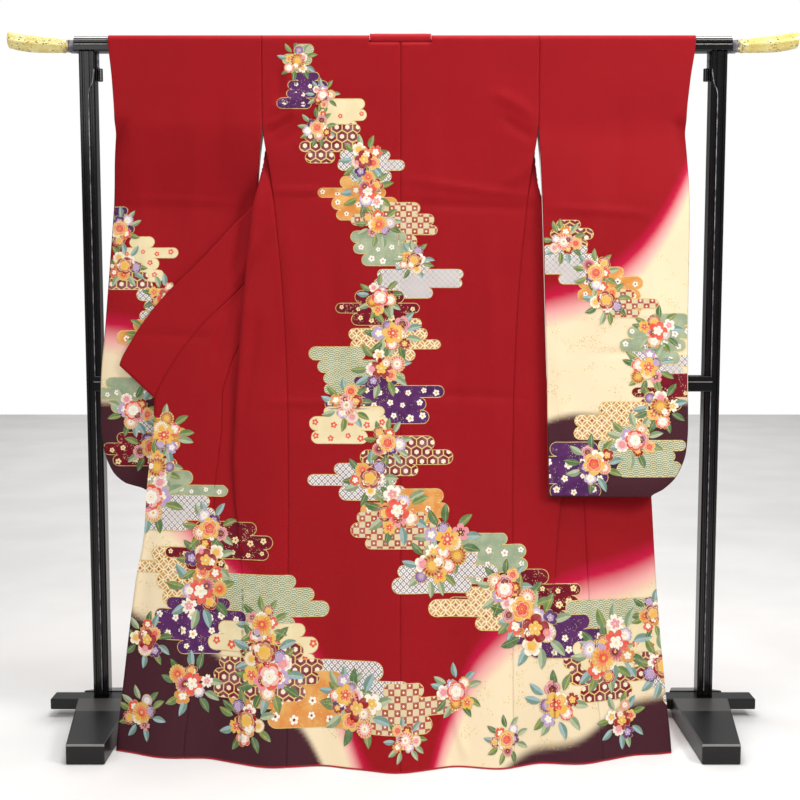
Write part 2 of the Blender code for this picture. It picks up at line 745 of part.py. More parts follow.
def make_top_bar(collection):
    """The bar has a capped upper ridge and a groove along each face."""
    half = [
        (BAR_HALF_DEPTH - 0.004, BAR_BOTTOM),
        (BAR_HALF_DEPTH, BAR_BOTTOM + 0.004),
        (BAR_HALF_DEPTH, BAR_BOTTOM + 0.0135),
        (BAR_HALF_DEPTH - 0.0025, BAR_BOTTOM + 0.0155),
        (BAR_HALF_DEPTH - 0.0025, BAR_BOTTOM + 0.0180),
        (BAR_HALF_DEPTH, BAR_BOTTOM + 0.0200),
        (BAR_HALF_DEPTH, BAR_TOP - 0.0090),
        (BAR_HALF_DEPTH - 0.0030, BAR_TOP - 0.0060),
        (BAR_HALF_DEPTH - 0.0060, BAR_TOP - 0.0030),
        (BAR_HALF_DEPTH - 0.0090, BAR_TOP),
    ]
    outline = half + [(-y, z) for y, z in reversed(half)]
    extrusion("top_bar", outline, BAR_HALF_LENGTH, collection, LACQUER, along_x=True)


# The gilt horn's middle line by its reach past the grey collar
HORN = Table(
    "reach height radius",
    [
        (SEAM_GAP, 1.5560, 0.0143),
        (0.020, 1.5565, 0.0155),
        (0.045, 1.5580, 0.0170),
        (0.070, 1.5595, 0.0183),
        (0.095, 1.5620, 0.0190),
        (0.118, 1.5655, 0.0188),
        (0.136, 1.5695, 0.0175),
    ],
)


def make_bar_end(side, collection):
    """A grey collar on the bar's end, then the upturned gilt horn."""
    label = "left" if side < 0 else "right"
    start = BAR_HALF_LENGTH + SEAM_GAP
    end = start + BAR_COLLAR_LENGTH

    def corner(sx, sy, sz):
        x = side * (end if sx * side > 0 else start)
        return Vector((x, sy * BAR_COLLAR_HALF_DEPTH, BAR_COLLAR_MIDDLE + sz * BAR_COLLAR_HALF_HEIGHT))

    block(f"bar_collar_{label}", corner, collection, STEEL, 0.002)
    curve = bpy.data.curves.new(f"bar_end_{label}", "CURVE")
    curve.dimensions = "3D"
    curve.bevel_depth = 1.0
    curve.bevel_resolution = 3
    curve.use_fill_caps = True
    spline = curve.splines.new("POLY")
    spline.points.add(len(HORN.rows) - 1)
    for point, (reach, height, radius) in zip(spline.points, HORN.rows):
        point.co = (side * (end + reach), 0, height, 1)
        point.radius = radius
    add_object(f"bar_end_{label}", curve, collection, GILT)


def make_post(side, collection):
    """A square post with a flute near each front and rear corner, standing on the foot's cross piece."""
    label = "left" if side < 0 else "right"
    half = POST_WIDTH / 2
    flute, far = half - FLUTE_START, half - FLUTE_START - FLUTE_WIDTH
    quarter = [
        (half, half - POST_CHAMFER),
        (half - POST_CHAMFER, half),
        (flute, half),
        (flute - FLUTE_LIP, half - FLUTE_DEPTH),
        (far + FLUTE_LIP, half - FLUTE_DEPTH),
        (far, half),
    ]
    outline = quarter + [(-x, y) for x, y in reversed(quarter)]
    outline += [(-x, -y) for x, y in quarter] + [(x, -y) for x, y in reversed(quarter)]
    low, high = CROSS_TOP + SEAM_GAP, BAR_BOTTOM - SEAM_GAP
    post = extrusion(f"post_{label}", outline, (high - low) / 2, collection, LACQUER, along_x=False)
    post.location = (side * POST_X, 0, (high + low) / 2)
    inner_face = POST_X - half - SEAM_GAP
    rod = (side * (inner_face - ROD_RADIUS), 0, ROD_HEIGHT)
    knob = (side * (inner_face - KNOB_RADIUS), 0, KNOB_HEIGHT)
    cylinder(f"rod_{label}", rod, ROD_RADIUS, ROD_LENGTH, collection, STEEL)
    cylinder(f"knob_{label}", knob, KNOB_RADIUS, KNOB_LENGTH, collection, LACQUER, 0.0012)


def make_middle_bar(collection):
    """The bar is let in between the posts, and a rounded lap at each end lies on the post's front face."""
    inner = POST_X - POST_WIDTH / 2 - SEAM_GAP
    front, lap = -MIDDLE_BAR_FRONT, -POST_WIDTH / 2 - SEAM_GAP
    end = inner + LAP_LENGTH
    half = [(end - 0.004, front), (end, lap), (inner, lap), (inner, MIDDLE_BAR_REAR)]
    outline = half + [(-x, y) for x, y in reversed(half)]
    bar = extrusion("middle_bar", outline, MIDDLE_BAR_THICK / 2, collection, LACQUER, along_x=False)
    bar.location = (0, 0, MIDDLE_BAR_HEIGHT)
    soften(bar, 0.002)


def make_foot(side, collection):
    label = "left" if side < 0 else "right"

    def front(sx, sy, sz):
        outer = sx * side > 0
        rear_y = CROSS_FRONT - SEAM_GAP
        wide = FOOT_OUTER_REAR if sy > 0 else FOOT_OUTER_FRONT
        top = FOOT_TOP if sy > 0 else FOOT_FRONT_TOP
        return Vector((
            side * (wide if outer else FOOT_INNER),
            rear_y if sy > 0 else FOOT_FRONT_Y,
            top if sz > 0 else 0,
        ))

    def cross(sx, sy, sz):
        outer = sx * side > 0
        return Vector((
            side * (CROSS_OUTER if outer else CROSS_INNER),
            CROSS_REAR if sy > 0 else CROSS_FRONT,
            CROSS_TOP if sz > 0 else CROSS_BOTTOM,
        ))

    def rear(sx, sy, sz):
        outer = sx * side > 0
        near = FOOT_OUTER_REAR if outer else WEDGE_INNER
        far = WEDGE_REAR_OUTER if outer else WEDGE_REAR_INNER
        top = WEDGE_REAR_TOP if sy > 0 else FOOT_TOP
        return Vector((
            side * (far if sy > 0 else near),
            WEDGE_REAR_Y if sy > 0 else CROSS_REAR + SEAM_GAP,
            top if sz > 0 else 0,
        ))

    block(f"foot_front_{label}", front, collection, LACQUER, 0.003)
    block(f"foot_cross_{label}", cross, collection, LACQUER, 0.003)
    block(f"foot_rear_{label}", rear, collection, LACQUER, 0.003)


def stand_on_origin(collection):
    """Moves everything so that the origin is under the middle of the whole part, on the floor."""
    bpy.context.view_layer.update()
    graph = bpy.context.evaluated_depsgraph_get()
    corners = []
    for obj in collection.objects:
        mesh = obj.evaluated_get(graph).to_mesh()
        corners += [obj.matrix_world @ vert.co for vert in mesh.vertices]
    low = Vector(min(c[i] for c in corners) for i in range(3))
    high = Vector(max(c[i] for c in corners) for i in range(3))
    shift = Vector((-(low.x + high.x) / 2, -(low.y + high.y) / 2, -low.z))
    base = bpy.data.objects.new("base", None)
    collection.objects.link(base)
    for obj in list(collection.objects):
        if obj is not base:
            obj.parent = base
    base.location = shift


def main():
    for obj in list(bpy.data.objects):
        bpy.data.objects.remove(obj, do_unlink=True)
    collection = bpy.data.collections.new("furisode_on_stand")
    bpy.context.scene.collection.children.link(collection)
    for side, label in ((-1, "left"), (1, "right")):
        cloth_sheet(f"body_{label}", body_rows(side), collection)
        cloth_sheet(f"okumi_{label}", okumi_rows(side), collection)
        cloth_sheet(f"sleeve_{label}", sleeve_rows(side), collection)
        make_bar_end(side, collection)
        make_post(side, collection)
        make_foot(side, collection)
    make_collar(collection)
    make_top_bar(collection)
    make_middle_bar(collection)
    stand_on_origin(collection)


main()
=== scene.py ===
"""The looks of a furisode laid over the top bar of a lacquered kimono stand.

The cloth pieces are fine shells on the frame's own solids, with their creases placed one by one. What is dyed
and painted on them is a generic design: mist clouds filled with small traditional repeats, and garden flowers.
"""

from __future__ import annotations

import logging
import math
import random
from dataclasses import dataclass, field
from enum import Enum
from functools import lru_cache
from typing import Callable, Sequence

import bpy
import numpy as np
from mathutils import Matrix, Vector


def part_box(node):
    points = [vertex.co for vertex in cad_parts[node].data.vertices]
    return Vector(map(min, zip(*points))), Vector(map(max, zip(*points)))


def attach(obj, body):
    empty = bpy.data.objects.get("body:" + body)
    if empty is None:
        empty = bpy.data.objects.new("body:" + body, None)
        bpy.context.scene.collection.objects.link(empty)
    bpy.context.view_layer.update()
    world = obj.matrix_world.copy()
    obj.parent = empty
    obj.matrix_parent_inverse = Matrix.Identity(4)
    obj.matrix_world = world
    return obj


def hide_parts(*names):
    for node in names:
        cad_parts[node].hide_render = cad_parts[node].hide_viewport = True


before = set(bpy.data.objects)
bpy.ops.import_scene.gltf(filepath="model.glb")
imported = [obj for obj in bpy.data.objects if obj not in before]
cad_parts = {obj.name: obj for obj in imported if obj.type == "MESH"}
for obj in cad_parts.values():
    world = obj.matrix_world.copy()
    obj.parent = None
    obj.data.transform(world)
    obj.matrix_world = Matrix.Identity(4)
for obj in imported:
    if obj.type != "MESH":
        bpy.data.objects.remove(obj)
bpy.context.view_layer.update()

log = logging.getLogger("furisode")

Colour = tuple[float, float, float]
Point = tuple[float, float]
Point3 = tuple[float, float, float]
Rows = tuple[tuple[float, ...], ...]
Bank = tuple[float, float, float, float]
Paint = Callable[[Vector], Colour]
Part = tuple[str, list[Point], list[Point]]


def dyes(codes: str) -> list[Colour]:
    """Linear colours from the hex codes of dyes, with spaces between them."""
    parts = [[int(code[i : i + 2], 16) / 255 for i in (0, 2, 4)] for code in codes.split()]
    return [
        tuple(c / 12.92 if c <= 0.04045 else ((c + 0.055) / 1.055) ** 2.4 for c in part) for part in parts
    ]


RED, CRIMSON, BLUSH, CREAM, AUBERGINE = dyes("990F18 C4123F F0A8A4 F3DFBA 48222B")
LINING_WHITE, LINING_RED, GOLD, PALE_GOLD, IVORY = dyes("EFEBE2 B3202B D9B25E EAD9A0 F3ECDD")
CORAL, ROSE, SAFFRON, ENJI, ORANGE = dyes("E0523F E58C9B E9B44C 7A1526 D98B45")
VIOLET, LILAC, MOSS, SAGE, LEAF, SKY = dyes("5A2A66 B59AC6 7F8F4A A9B795 4F7040 8FB0B5")
BLACK, WHITE = dyes("000000 FFFFFF")


def numbers(text: str) -> Rows:
    """Rows of numbers from text, with commas between the rows."""
    return tuple(tuple(float(word) for word in row.split()) for row in text.split(","))


def smooth(t: float) -> float:
    """A soft step from 0 to 1."""
    t = min(1.0, max(0.0, t))
    return t * t * (3 - 2 * t)


def lerp(a: float, b: float, t: float) -> float:
    """The number a share t of the way from a to b."""
    return a + (b - a) * t


def blend(a: Colour, b: Colour, t: float) -> Colour:
    """The colour a share t of the way from a to b."""
    return tuple(lerp(x, y, t) for x, y in zip(a, b))


def spread(start: float, end: float, count: int) -> list[float]:
    """Evenly spaced values from start to end, both included."""
    return [lerp(start, end, i / count) for i in range(count + 1)]


def chain_length(points: Sequence[Point]) -> float:
    """The length of a chain of points."""
    return sum(math.dist(a, b) for a, b in zip(points, points[1:]))


def along(points: Sequence[Point], distance: float) -> Point:
    """The point at a distance along a chain of points."""
    for a, b in zip(points, points[1:]):
        step = math.dist(a, b)
        if 0 < step and distance <= step:
            t = distance / step
            return lerp(a[0], b[0], t), lerp(a[1], b[1], t)
        distance -= step
    return points[-1]


def flowing(places: Sequence[Point], fineness: int = 10) -> list[Point]:
    """A smooth line through places, as a close chain of points."""
    ends = [places[0], *places, places[-1]]
    line = []
    for a, b, c, d in zip(ends, ends[1:], ends[2:], ends[3:]):
        for t in spread(0, 1, fineness)[:-1]:
            line.append(tuple(
                0.5 * (
                    2 * q + (r - p) * t + (2 * p - 5 * q + 4 * r - s) * t**2 + (3 * q - p - 3 * r + s) * t**3
                )
                for p, q, r, s in zip(a, b, c, d)
            ))
    return [*line, places[-1]]


def out_from(centre: Point, angle: float, reach: float) -> Point:
    """The place at a distance and an angle from a centre."""
    return centre[0] + reach * math.cos(angle), centre[1] + reach * math.sin(angle)


class Side(Enum):
    """The wearer's sides. The value is the sign of X."""

    LEFT = -1
    RIGHT = 1

    @property
    def label(self) -> str:
        """The side's word in the node names."""
        return self.name.lower()

    @staticmethod
    def of(node: str) -> Side:
        """The side that a node's name ends with, or else the right one."""
        return Side.LEFT if node.endswith("left") else Side.RIGHT


@dataclass(frozen=True)
class Table:
    """Rows of named columns, read at any value of the first column by smooth curves that never overshoot."""

    columns: str
    rows: tuple[tuple[float, ...], ...]

    def at(self, value: float, column: str) -> float:
        """One column at a value of the first one.

        Args:
            value: A place along the first column.
            column: The name of the column to read.

        Returns:
            The column's value there.
        """
        k = self.columns.split().index(column)
        xs = [row[0] for row in self.rows]
        ys = [row[k] for row in self.rows]
        if value <= xs[0]:
            return ys[0]
        if value >= xs[-1]:
            return ys[-1]
        i = max(j for j, x in enumerate(xs) if x <= value)
        rise = [(ys[j + 1] - ys[j]) / (xs[j + 1] - xs[j]) for j in range(len(xs) - 1)]

        def slope(j: int) -> float:
            """The curve's slope at one row."""
            if j == 0 or j == len(xs) - 1 or rise[j - 1] * rise[j] <= 0:
                return 0.0
            return 2 * rise[j - 1] * rise[j] / (rise[j - 1] + rise[j])

        step = xs[i + 1] - xs[i]
        t = (value - xs[i]) / step
        return (
            ys[i] * (1 + 2 * t) * (1 - t) ** 2
            + ys[i + 1] * t * t * (3 - 2 * t)
            + step * slope(i) * t * (1 - t) ** 2
            - step * slope(i + 1) * t * t * (1 - t)
        )


BACK = Table("height side", numbers("""
    0 .241, .33 .247, .54 .25, .76 .255, .96 .265, 1.19 .286, 1.27 .296, 1.388 .313, 1.57 .313
"""))
FRONT_COLUMNS = "height seam fold edge ease behind_seam behind_fold behind_inner behind_edge"
FRONT = {
    Side.LEFT: Table(FRONT_COLUMNS, numbers("""
        0 .241 .34 .622 0 0 0 0 0, .13 .243 .342 .613 0 0 0 0 0, .35 .247 .348 .593 0 0 0 0 0,
        .46 .249 .36 .577 .02 0 0 .004 .004, .56 .25 .372 .573 .06 0 -.001 .007 .009,
        .63 .2525 .376 .566 .5 0 -.002 .009 .008, .7 .2545 .374 .56 .5 0 -.003 .01 .009,
        .753 .255 .372 .56 .5 0 -.003 .011 .01, .817 .257 .369 .532 .5 0 -.003 .012 .011,
        .914 .262 .362 .462 .5 0 -.003 .012 .014, 1 .268 .356 .375 .5 0 -.003 .012 .018,
        1.1 .277 .346 .282 .5 0 -.003 .014 .022, 1.19 .286 .336 .19 .5 0 -.003 .018 .027,
        1.25 .294 .322 .135 .5 .003 .003 .024 .036, 1.3 .302 .312 .1 .5 .02 .018 .04 .044,
        1.36 .309 .309 .075 .5 .043 .043 .045 .046, 1.388 .313 .313 .07 .5 .044 .044 .044 .044,
        1.57 .313 .313 .07 .5 .043 .043 .043 .043
    """)),
    Side.RIGHT: Table(FRONT_COLUMNS, numbers("""
        0 .241 .33 .59 0 0 0 0 0, .13 .243 .332 .582 0 0 0 0 0, .31 .247 .336 .572 0 0 0 0 0,
        .42 .249 .345 .569 .03 0 0 .004 .004, .55 .25 .36 .566 .07 0 -.001 .007 .01,
        .63 .2525 .372 .56 .5 0 -.002 .009 .014, .7 .2545 .372 .545 .5 0 -.003 .01 .016,
        .753 .255 .37 .535 .5 0 -.003 .011 .018, .817 .257 .366 .505 .5 0 -.003 .012 .021,
        .914 .262 .36 .445 .5 0 -.003 .012 .021, 1 .268 .354 .37 .5 0 -.003 .012 .021,
        1.1 .277 .344 .282 .5 0 -.003 .014 .022, 1.19 .286 .328 .19 .5 0 -.001 .018 .027,
        1.25 .294 .312 .135 .5 .003 .004 .024 .036, 1.3 .302 .308 .1 .5 .02 .02 .04 .044,
        1.36 .309 .309 .075 .5 .043 .043 .045 .046, 1.388 .313 .313 .07 .5 .044 .044 .044 .044,
        1.57 .313 .313 .07 .5 .043 .043 .043 .043
    """)),
}
SLEEVE = {
    Side.LEFT: Table("height inner outer behind space", numbers("""
        .549 .345 .587 .0735 .01, .565 .345 .633 .0715 .01, .593 .345 .662 .067 .011,
        .646 .345 .681 .057 .011, .7 .344 .687 .0495 .011, .79 .343 .687 .041 .011,
        .914 .341 .678 .035 .011, 1 .34 .672 .033 .011, 1.07 .338 .667 .033 .011, 1.19 .331 .659 .036 .011,
        1.245 .326 .655 .026 .013, 1.3 .321 .652 .013 .022, 1.388 .3133 .647 0 .043,
        1.477 .3133 .651 0 .043, 1.57 .3133 .658 0 .043
    """)),
    Side.RIGHT: Table("height inner outer behind space", numbers("""
        .549 .328 .556 -.024 .012, .565 .328 .583 -.024 .012, .593 .328 .613 -.024 .012,
        .646 .328 .636 -.024 .012, .7 .328 .642 -.024 .012, .79 .328 .644 -.024 .012,
        .914 .326 .646 -.023 .012, 1.07 .323 .65 -.022 .012, 1.19 .32 .652 -.02 .012,
        1.245 .318 .651 -.016 .013, 1.3 .316 .649 -.01 .022, 1.388 .3133 .647 0 .043,
        1.477 .3133 .654 0 .043, 1.57 .3133 .665 0 .043
    """)),
}
COLLAR_NECK = Table("along seam_out seam_down bend_out bend_down edge_out edge_down behind", numbers("""
    0 0 .0006 0 .055 0 .11 0, .0175 .0175 .0006 .011 .056 .004 .112 0,
    .035 .035 .0006 .0215 .0575 .008 .115 0, .052 .052 .0006 .0315 .0595 .011 .119 0,
    .069 .0685 .002 .041 .063 .014 .124 0, .094 .069 .025 .043 .0775 .016 .13 0,
    .119 .069 .05 .043 .093 .017 .137 0, .144 .069 .075 .042 .11 .017 .145 0,
    .169 .069 .1 .039 .127 .016 .156 .001, .199 .069 .13 .034 .152 .018 .172 .003,
    .229 .069 .16 .028 .176 .03 .19 .005, .259 .069 .19 .024 .2 .055 .205 .006,
    .289 .069 .22 .026 .228 .085 .228 .007, .319 .07 .25 .034 .256 .115 .252 .007,
    .348 .074 .279 .048 .282 .14 .272 .0065
"""))
COLLAR_TURN = Table("height turn", numbers("""
    .753 132, 1.1 132, 1.19 130, 1.25 122, 1.3 113, 1.36 100
"""))
HEM_ZONES = Table("x cream dark", numbers("""
    -.64 .57 .3, -.52 .52 .265, -.42 .43 .215, -.32 .33 .155, -.22 .24 .07, -.14 .13 -.04, -.06 -.03 -.1,
    .03 -.08 -.1, .09 .06 -.08, .16 .21 -.03, .24 .285 .01, .34 .33 .045, .44 .365 .08, .54 .41 .115,
    .64 .455 .14
"""))


class Line:
    """A size along the height, or along another measure, worked out once and then read quickly."""

    step = 0.005

    def __init__(self, measure: Callable[[float], float], low: float = 0.0, high: float = 1.585) -> None:
        """Samples the size at even steps."""
        self.stops = np.arange(low, high, self.step)
        self.values = np.array([measure(float(stop)) for stop in self.stops])

    def at(self, stop: float) -> float:
        """The size at one place."""
        return float(np.interp(stop, self.stops, self.values))


@dataclass(frozen=True)
class Wave:
    """A soft upright wave low on the hanging surface.

    foot is where it meets the floor, drift how far it leans inward by its top, push how far it comes forward,
    width its half width and top the height at which it has died out.
    """

    foot: float
    drift: float
    push: float
    width: float
    top: float

    def push_at(self, x: float, height: float) -> float:
        """How far the wave brings the cloth forward at one place."""
        if height >= self.top:
            return 0.0
        centre = self.foot - math.copysign(self.drift, self.foot) * height / self.top
        fade = (1 - height / self.top) ** 1.5
        return self.push * fade * math.exp(-(((x - centre) / self.width) ** 2))


@dataclass(frozen=True)
class Crease:
    """A soft ridge, or a trough where push is negative, along a line from one place to another.

    past is how far it runs on at both ends, and fade how long its ends take to die out, as shares of the line.
    """

    x0: float
    z0: float
    x1: float
    z1: float
    width: float
    push: float
    sag: float = 0.0
    past: float = 0.15
    fade: float = 0.45

    def push_at(self, x: float, z: float) -> float:
        """How far the crease brings the cloth forward at one place."""
        dx, dz = self.x1 - self.x0, self.z1 - self.z0
        length = math.hypot(dx, dz)
        t = ((x - self.x0) * dx + (z - self.z0) * dz) / length**2
        if not -self.past < t < 1 + self.past:
            return 0.0
        off = ((x - self.x0) * dz - (z - self.z0) * dx) / length + self.sag * 4 * t * (1 - t)
        ends = smooth((t + self.past) / self.fade) * smooth((1 + self.past - t) / self.fade)
        return self.push * ends * math.exp(-((off / self.width) ** 2))


@dataclass(frozen=True, eq=False)
class Drape:
    """The surface in which the garment hangs, with the sizes its pieces share. Metres, stand's own axes."""

    rear_foot_end: float = 0.120
    centre_back: float = -0.006
    hem: float = 0.0012
    shoulder_half: float = 0.313
    neck_half: float = 0.070
    armhole: float = 1.388
    bar_level: float = 1.57
    okumi: float = 0.155
    okumi_top: float = 1.36
    fold_clearance: float = 0.014
    behind_run: float = 0.03
    far_foot: float = 1.24
    far_run: float = 0.10
    crease_foot: float = 0.004
    crease_foot_run: float = 0.03
    crease_top: float = 1.565
    crease_top_run: float = 0.05
    fold_run: float = 0.03
    fold_step: float = 0.010
    fold_half: float = 0.0030
    seam_gap: float = 0.0001
    seam_depth: float = 0.0009
    seam_width: float = 0.0030
    half_depth: float = 0.0215
    wrap_top: float = 1.5771
    wrap_radius: float = 0.012
    wrap_foot: float = 1.560
    collar_top: float = 1.5808
    collar_rear: float = 0.0270
    collar_clearance: float = 0.0045
    collar_width: float = 0.110
    collar_foot: float = 0.760
    hang_height: float = 1.56
    hem_reach: float = 0.323
    hem_reach_loss: float = 0.27
    hang_power: float = 2.2
    waves: tuple[Wave, ...] = tuple(Wave(*row) for row in numbers("""
        -.53 .03 .01 .05 .5, -.42 .04 -.012 .045 .62, -.29 0 .013 .05 .8, -.17 .02 -.012 .045 .9,
        -.015 0 .02 .06 .55, .11 -.03 -.012 .045 .95, .205 0 .009 .04 .75, .29 .04 -.011 .04 .85,
        .385 0 .01 .045 .5, .5 .02 -.01 .045 .45
    """))
    near_creases: tuple[Crease, ...] = tuple(Crease(*row) for row in numbers("""
        -.3 1.229 -.18 1.23 .007 .0034, -.23 1.216 -.03 1.222 .009 -.0024 .003,
        .009 1.256 .308 1.215 .007 .0032 -.002, -.004 1.2 .308 1.188 .008 -.003,
        -.33 .752 -.055 .752 .007 .003 .002, .01 .77 .27 .762 .008 -.0026 .003,
        -.311 1.358 -.246 1.396 .008 -.0052, -.306 1.374 -.24 1.411 .008 .004,
        -.262 1.52 -.256 1.4 .011 .0038 .003, -.28 1.5 -.285 1.42 .009 -.0032,
        -.36 1.235 -.392 .985 .014 -.006 .004, -.383 .985 -.43 .845 .012 -.0052 -.004,
        .3 1.345 .222 1.395 .01 -.0036 .003, -.3 1.405 -.215 1.44 .012 .0042 .006,
        -.292 1.33 -.18 1.385 .018 -.004 .008, .298 1.392 .2 1.45 .014 .0038 -.006,
        .3 1.3 .225 1.24 .016 .0034 .004, -.305 1.12 -.42 .94 .016 -.0055 .01,
        -.325 1.15 -.395 1.01 .01 .004 .006, -.33 .96 -.395 .66 .014 -.005 .012,
        -.352 .9 -.372 .7 .008 .003 -.004, -.255 1.18 -.235 .86 .02 .0045 -.012,
        -.18 1.13 -.15 .78 .024 -.0036 .01, .185 1.14 .205 .56 .022 .0042 .01,
        .13 1 .12 .5 .02 -.0036 -.008, .055 1.39 .075 .93 .028 .003 .012,
        -.085 1.36 -.07 .96 .026 .0028 -.01, -.47 .33 -.505 .08 .014 .005 .008,
        -.56 .56 -.58 .26 .016 -.004 -.006, .47 .42 .52 .09 .014 .0046 -.006,
        .395 .47 .41 .16 .012 -.0036 .005, .1 .13 .135 .01 .01 .006, -.1 .2 -.12 .02 .012 -.0045,
        .43 1.3 .395 .98 .024 .004 .012, .56 1.19 .585 .8 .022 .0034 -.01, .5 1.42 .47 1.18 .02 -.0034 .006,
        .345 .9 .37 .64 .018 .0036 -.006, .325 1.19 .56 1.174 .008 .0034 .002,
        .42 .86 .64 .868 .008 -.0026 .003, -.64 1.215 -.38 1.203 .008 .003 .002,
        -.61 .905 -.43 .897 .008 -.0026, -.47 1.4 -.5 1.09 .022 .0036 .01,
        -.6 1.33 -.585 1.01 .02 .003 -.008, -.4 1.44 -.42 1.25 .018 -.003 -.006
    """))
    far_creases: tuple[Crease, ...] = tuple(Crease(*row) for row in numbers("""
        -.3 1.275 -.11 1.29 .007 .0016 .003, -.255 1.54 -.235 1.31 .02 .004 .01,
        -.16 1.52 -.13 1.34 .018 .0034 -.008, .24 1.53 .225 1.32 .022 .004 -.009,
        .15 1.5 .12 1.33 .016 .003 .006, -.42 1.53 -.45 1.29 .02 .0036 .008,
        -.56 1.51 -.575 1.3 .018 .003 -.006, .43 1.52 .415 1.29 .02 .0036 .007,
        .57 1.53 .59 1.31 .018 .003 -.006
    """))

    @property
    def shift(self) -> float:
        """Where the stand's own middle plane lies along the frame's Y."""
        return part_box("foot_rear_left")[1][1] - self.rear_foot_end

    def resting_y(self, x: float, height: float) -> float:
        """Depth of the hanging surface without its waves."""
        drop = max(0.0, 1 - height / self.hang_height)
        return -self.half_depth - (self.hem_reach - self.hem_reach_loss * x * x) * drop**self.hang_power

    def hanging_y(self, x: float, height: float) -> float:
        """Depth of the hanging surface at one place."""
        return self.resting_y(x, height) - sum(wave.push_at(x, height) for wave in self.waves)

    def creased(self, x: float, y: float, z: float, far: float) -> Vector:
        """A cloth point after the creases.

        Args:
            x: Place across, in the stand's own axes.
            y: Depth before the creases.
            z: Height.
            far: 1 for cloth behind the bar, 0 for cloth before it.

        Returns:
            The point in the stand's own axes.
        """
        far *= smooth((z - self.far_foot) / self.far_run)
        rim = smooth((self.crease_top - z) / self.crease_top_run)
        rim *= smooth((z - self.crease_foot) / self.crease_foot_run)
        near = sum(crease.push_at(x, z) for crease in self.near_creases)
        behind = sum(crease.push_at(x, z) for crease in self.far_creases)
        return Vector((x, y + rim * (far * behind - (1 - far) * near), z))

    def cloth_point(self, side: Side, outward: float, height: float, behind: float = 0.0) -> Vector:
        """A point by its distance outward from the centre-back seam, its height and its layer's depth."""
        x = self.centre_back + side.value * outward
        return self.creased(x, self.hanging_y(x, height) + behind, height, smooth(behind / self.behind_run))

    def dipped(self, point: Vector, *distances: float) -> Vector:
        """The point drawn in where it lies near seams, by its distance from each."""
        dip = sum(math.exp(-((d / self.seam_width) ** 2)) for d in distances)
        return Vector((point.x, point.y + self.seam_depth * dip, point.z))

    def over_bar(self, distance: float, top: float, rear: float) -> Point:
        """(y, z) after a distance up the bar's front from the wrap's foot, over its top and down its rear."""
        rise = top - self.wrap_radius - self.wrap_foot
        bend = self.wrap_radius * math.pi / 2
        flat = self.half_depth + rear - 2 * self.wrap_radius
        if distance <= rise:
            return -self.half_depth, self.wrap_foot + distance
        distance -= rise
        if distance <= bend:
            angle = distance / self.wrap_radius
            return (
                -self.half_depth + self.wrap_radius * (1 - math.cos(angle)),
                top - self.wrap_radius * (1 - math.sin(angle)),
            )
        distance -= bend
        if distance <= flat:
            return -self.half_depth + self.wrap_radius + distance, top
        distance -= flat
        if distance <= bend:
            angle = distance / self.wrap_radius
            return (
                rear - self.wrap_radius * (1 - math.sin(angle)),
                top - self.wrap_radius * (1 - math.cos(angle)),
            )
        return rear, top - self.wrap_radius - (distance - bend)

    def over_bar_length(self, top: float, rear: float) -> float:
        """The distance from the wrap's foot over the bar to the same height behind it."""
        rise = top - self.wrap_radius - self.wrap_foot
        return 2 * rise + self.wrap_radius * math.pi + self.half_depth + rear - 2 * self.wrap_radius

    @property
    def over_height(self) -> float:
        """What a height behind the bar is taken from to give its place down the whole length of cloth."""
        return 2 * self.wrap_foot + self.over_bar_length(self.wrap_top, self.half_depth)

    def wrap_rows(self) -> list[tuple[float, Point]]:
        """Each row of cloth that crosses over the bar: its place down the cloth and its (y, z)."""
        whole = self.over_bar_length(self.wrap_top, self.half_depth)
        stops = spread(0.0, whole, 22)[1:-1]
        return [
            (self.wrap_foot + stop, self.over_bar(stop, self.wrap_top, self.half_depth)) for stop in stops
        ]

    def okumi_cut(self, height: float) -> float:
        """The okumi's width where the collar seam cuts it, and its whole width below the collar."""
        share = (self.okumi_top - height) / (self.okumi_top - self.collar_foot)
        return self.okumi * min(1.0, max(0.0, share))

    @lru_cache(maxsize=4096)
    def front_section(self, side: Side, height: float) -> tuple[Point, ...]:
        """(outward, behind) points of a level cut, from the side seam to the collar seam or free edge."""
        row = {name: FRONT[side].at(height, name) for name in FRONT[side].columns.split()}
        if height < self.armhole:
            row["seam"] = BACK.at(height, "side")
        straight = row["edge"] - row["seam"]
        width = min(self.shoulder_half - self.neck_half + self.okumi_cut(height), abs(straight) + row["ease"])
        inner = min((2 * row["fold"] - row["seam"] + row["edge"] - width) / 2, row["fold"])
        run, step, half = self.fold_run, self.fold_step, self.fold_half
        outer_turn = max(0.0, min(1.0, (row["fold"] - row["seam"]) / run, (row["fold"] - inner) / run))
        inner_turn = min(1.0, (row["fold"] - inner) / run, max(0.0, row["edge"] - inner) / run)
        b_fold, b_inner = row["behind_fold"], row["behind_inner"]
        return (
            (row["seam"], row["behind_seam"]),
            (row["fold"] - step * outer_turn, b_fold - half * outer_turn * 0.3),
            (row["fold"] - step * outer_turn * 0.3, b_fold + half * outer_turn * 0.25),
            (row["fold"], b_fold + half * outer_turn),
            (row["fold"] - step * outer_turn * 0.3, b_fold + 1.7 * half * outer_turn),
            (row["fold"] - step * outer_turn, b_fold + 2 * half * outer_turn),
            (inner + step * inner_turn, b_inner - 2 * half * inner_turn),
            (inner, b_inner - half * inner_turn),
            (inner + step * inner_turn, b_inner),
            (row["edge"], row["behind_edge"]),
        )

    def whole_front(self, side: Side, height: float) -> float:
        """The length of a level cut of the front, from the side seam to its edge."""
        return chain_length(self.front_section(side, height))

    def okumi_width(self, side: Side, height: float) -> float:
        """The okumi's width at one height. It starts clear of the inner fold."""
        flat = chain_length(self.front_section(side, height)[7:]) - self.fold_clearance
        return max(0.0, min(self.okumi_cut(height), flat))

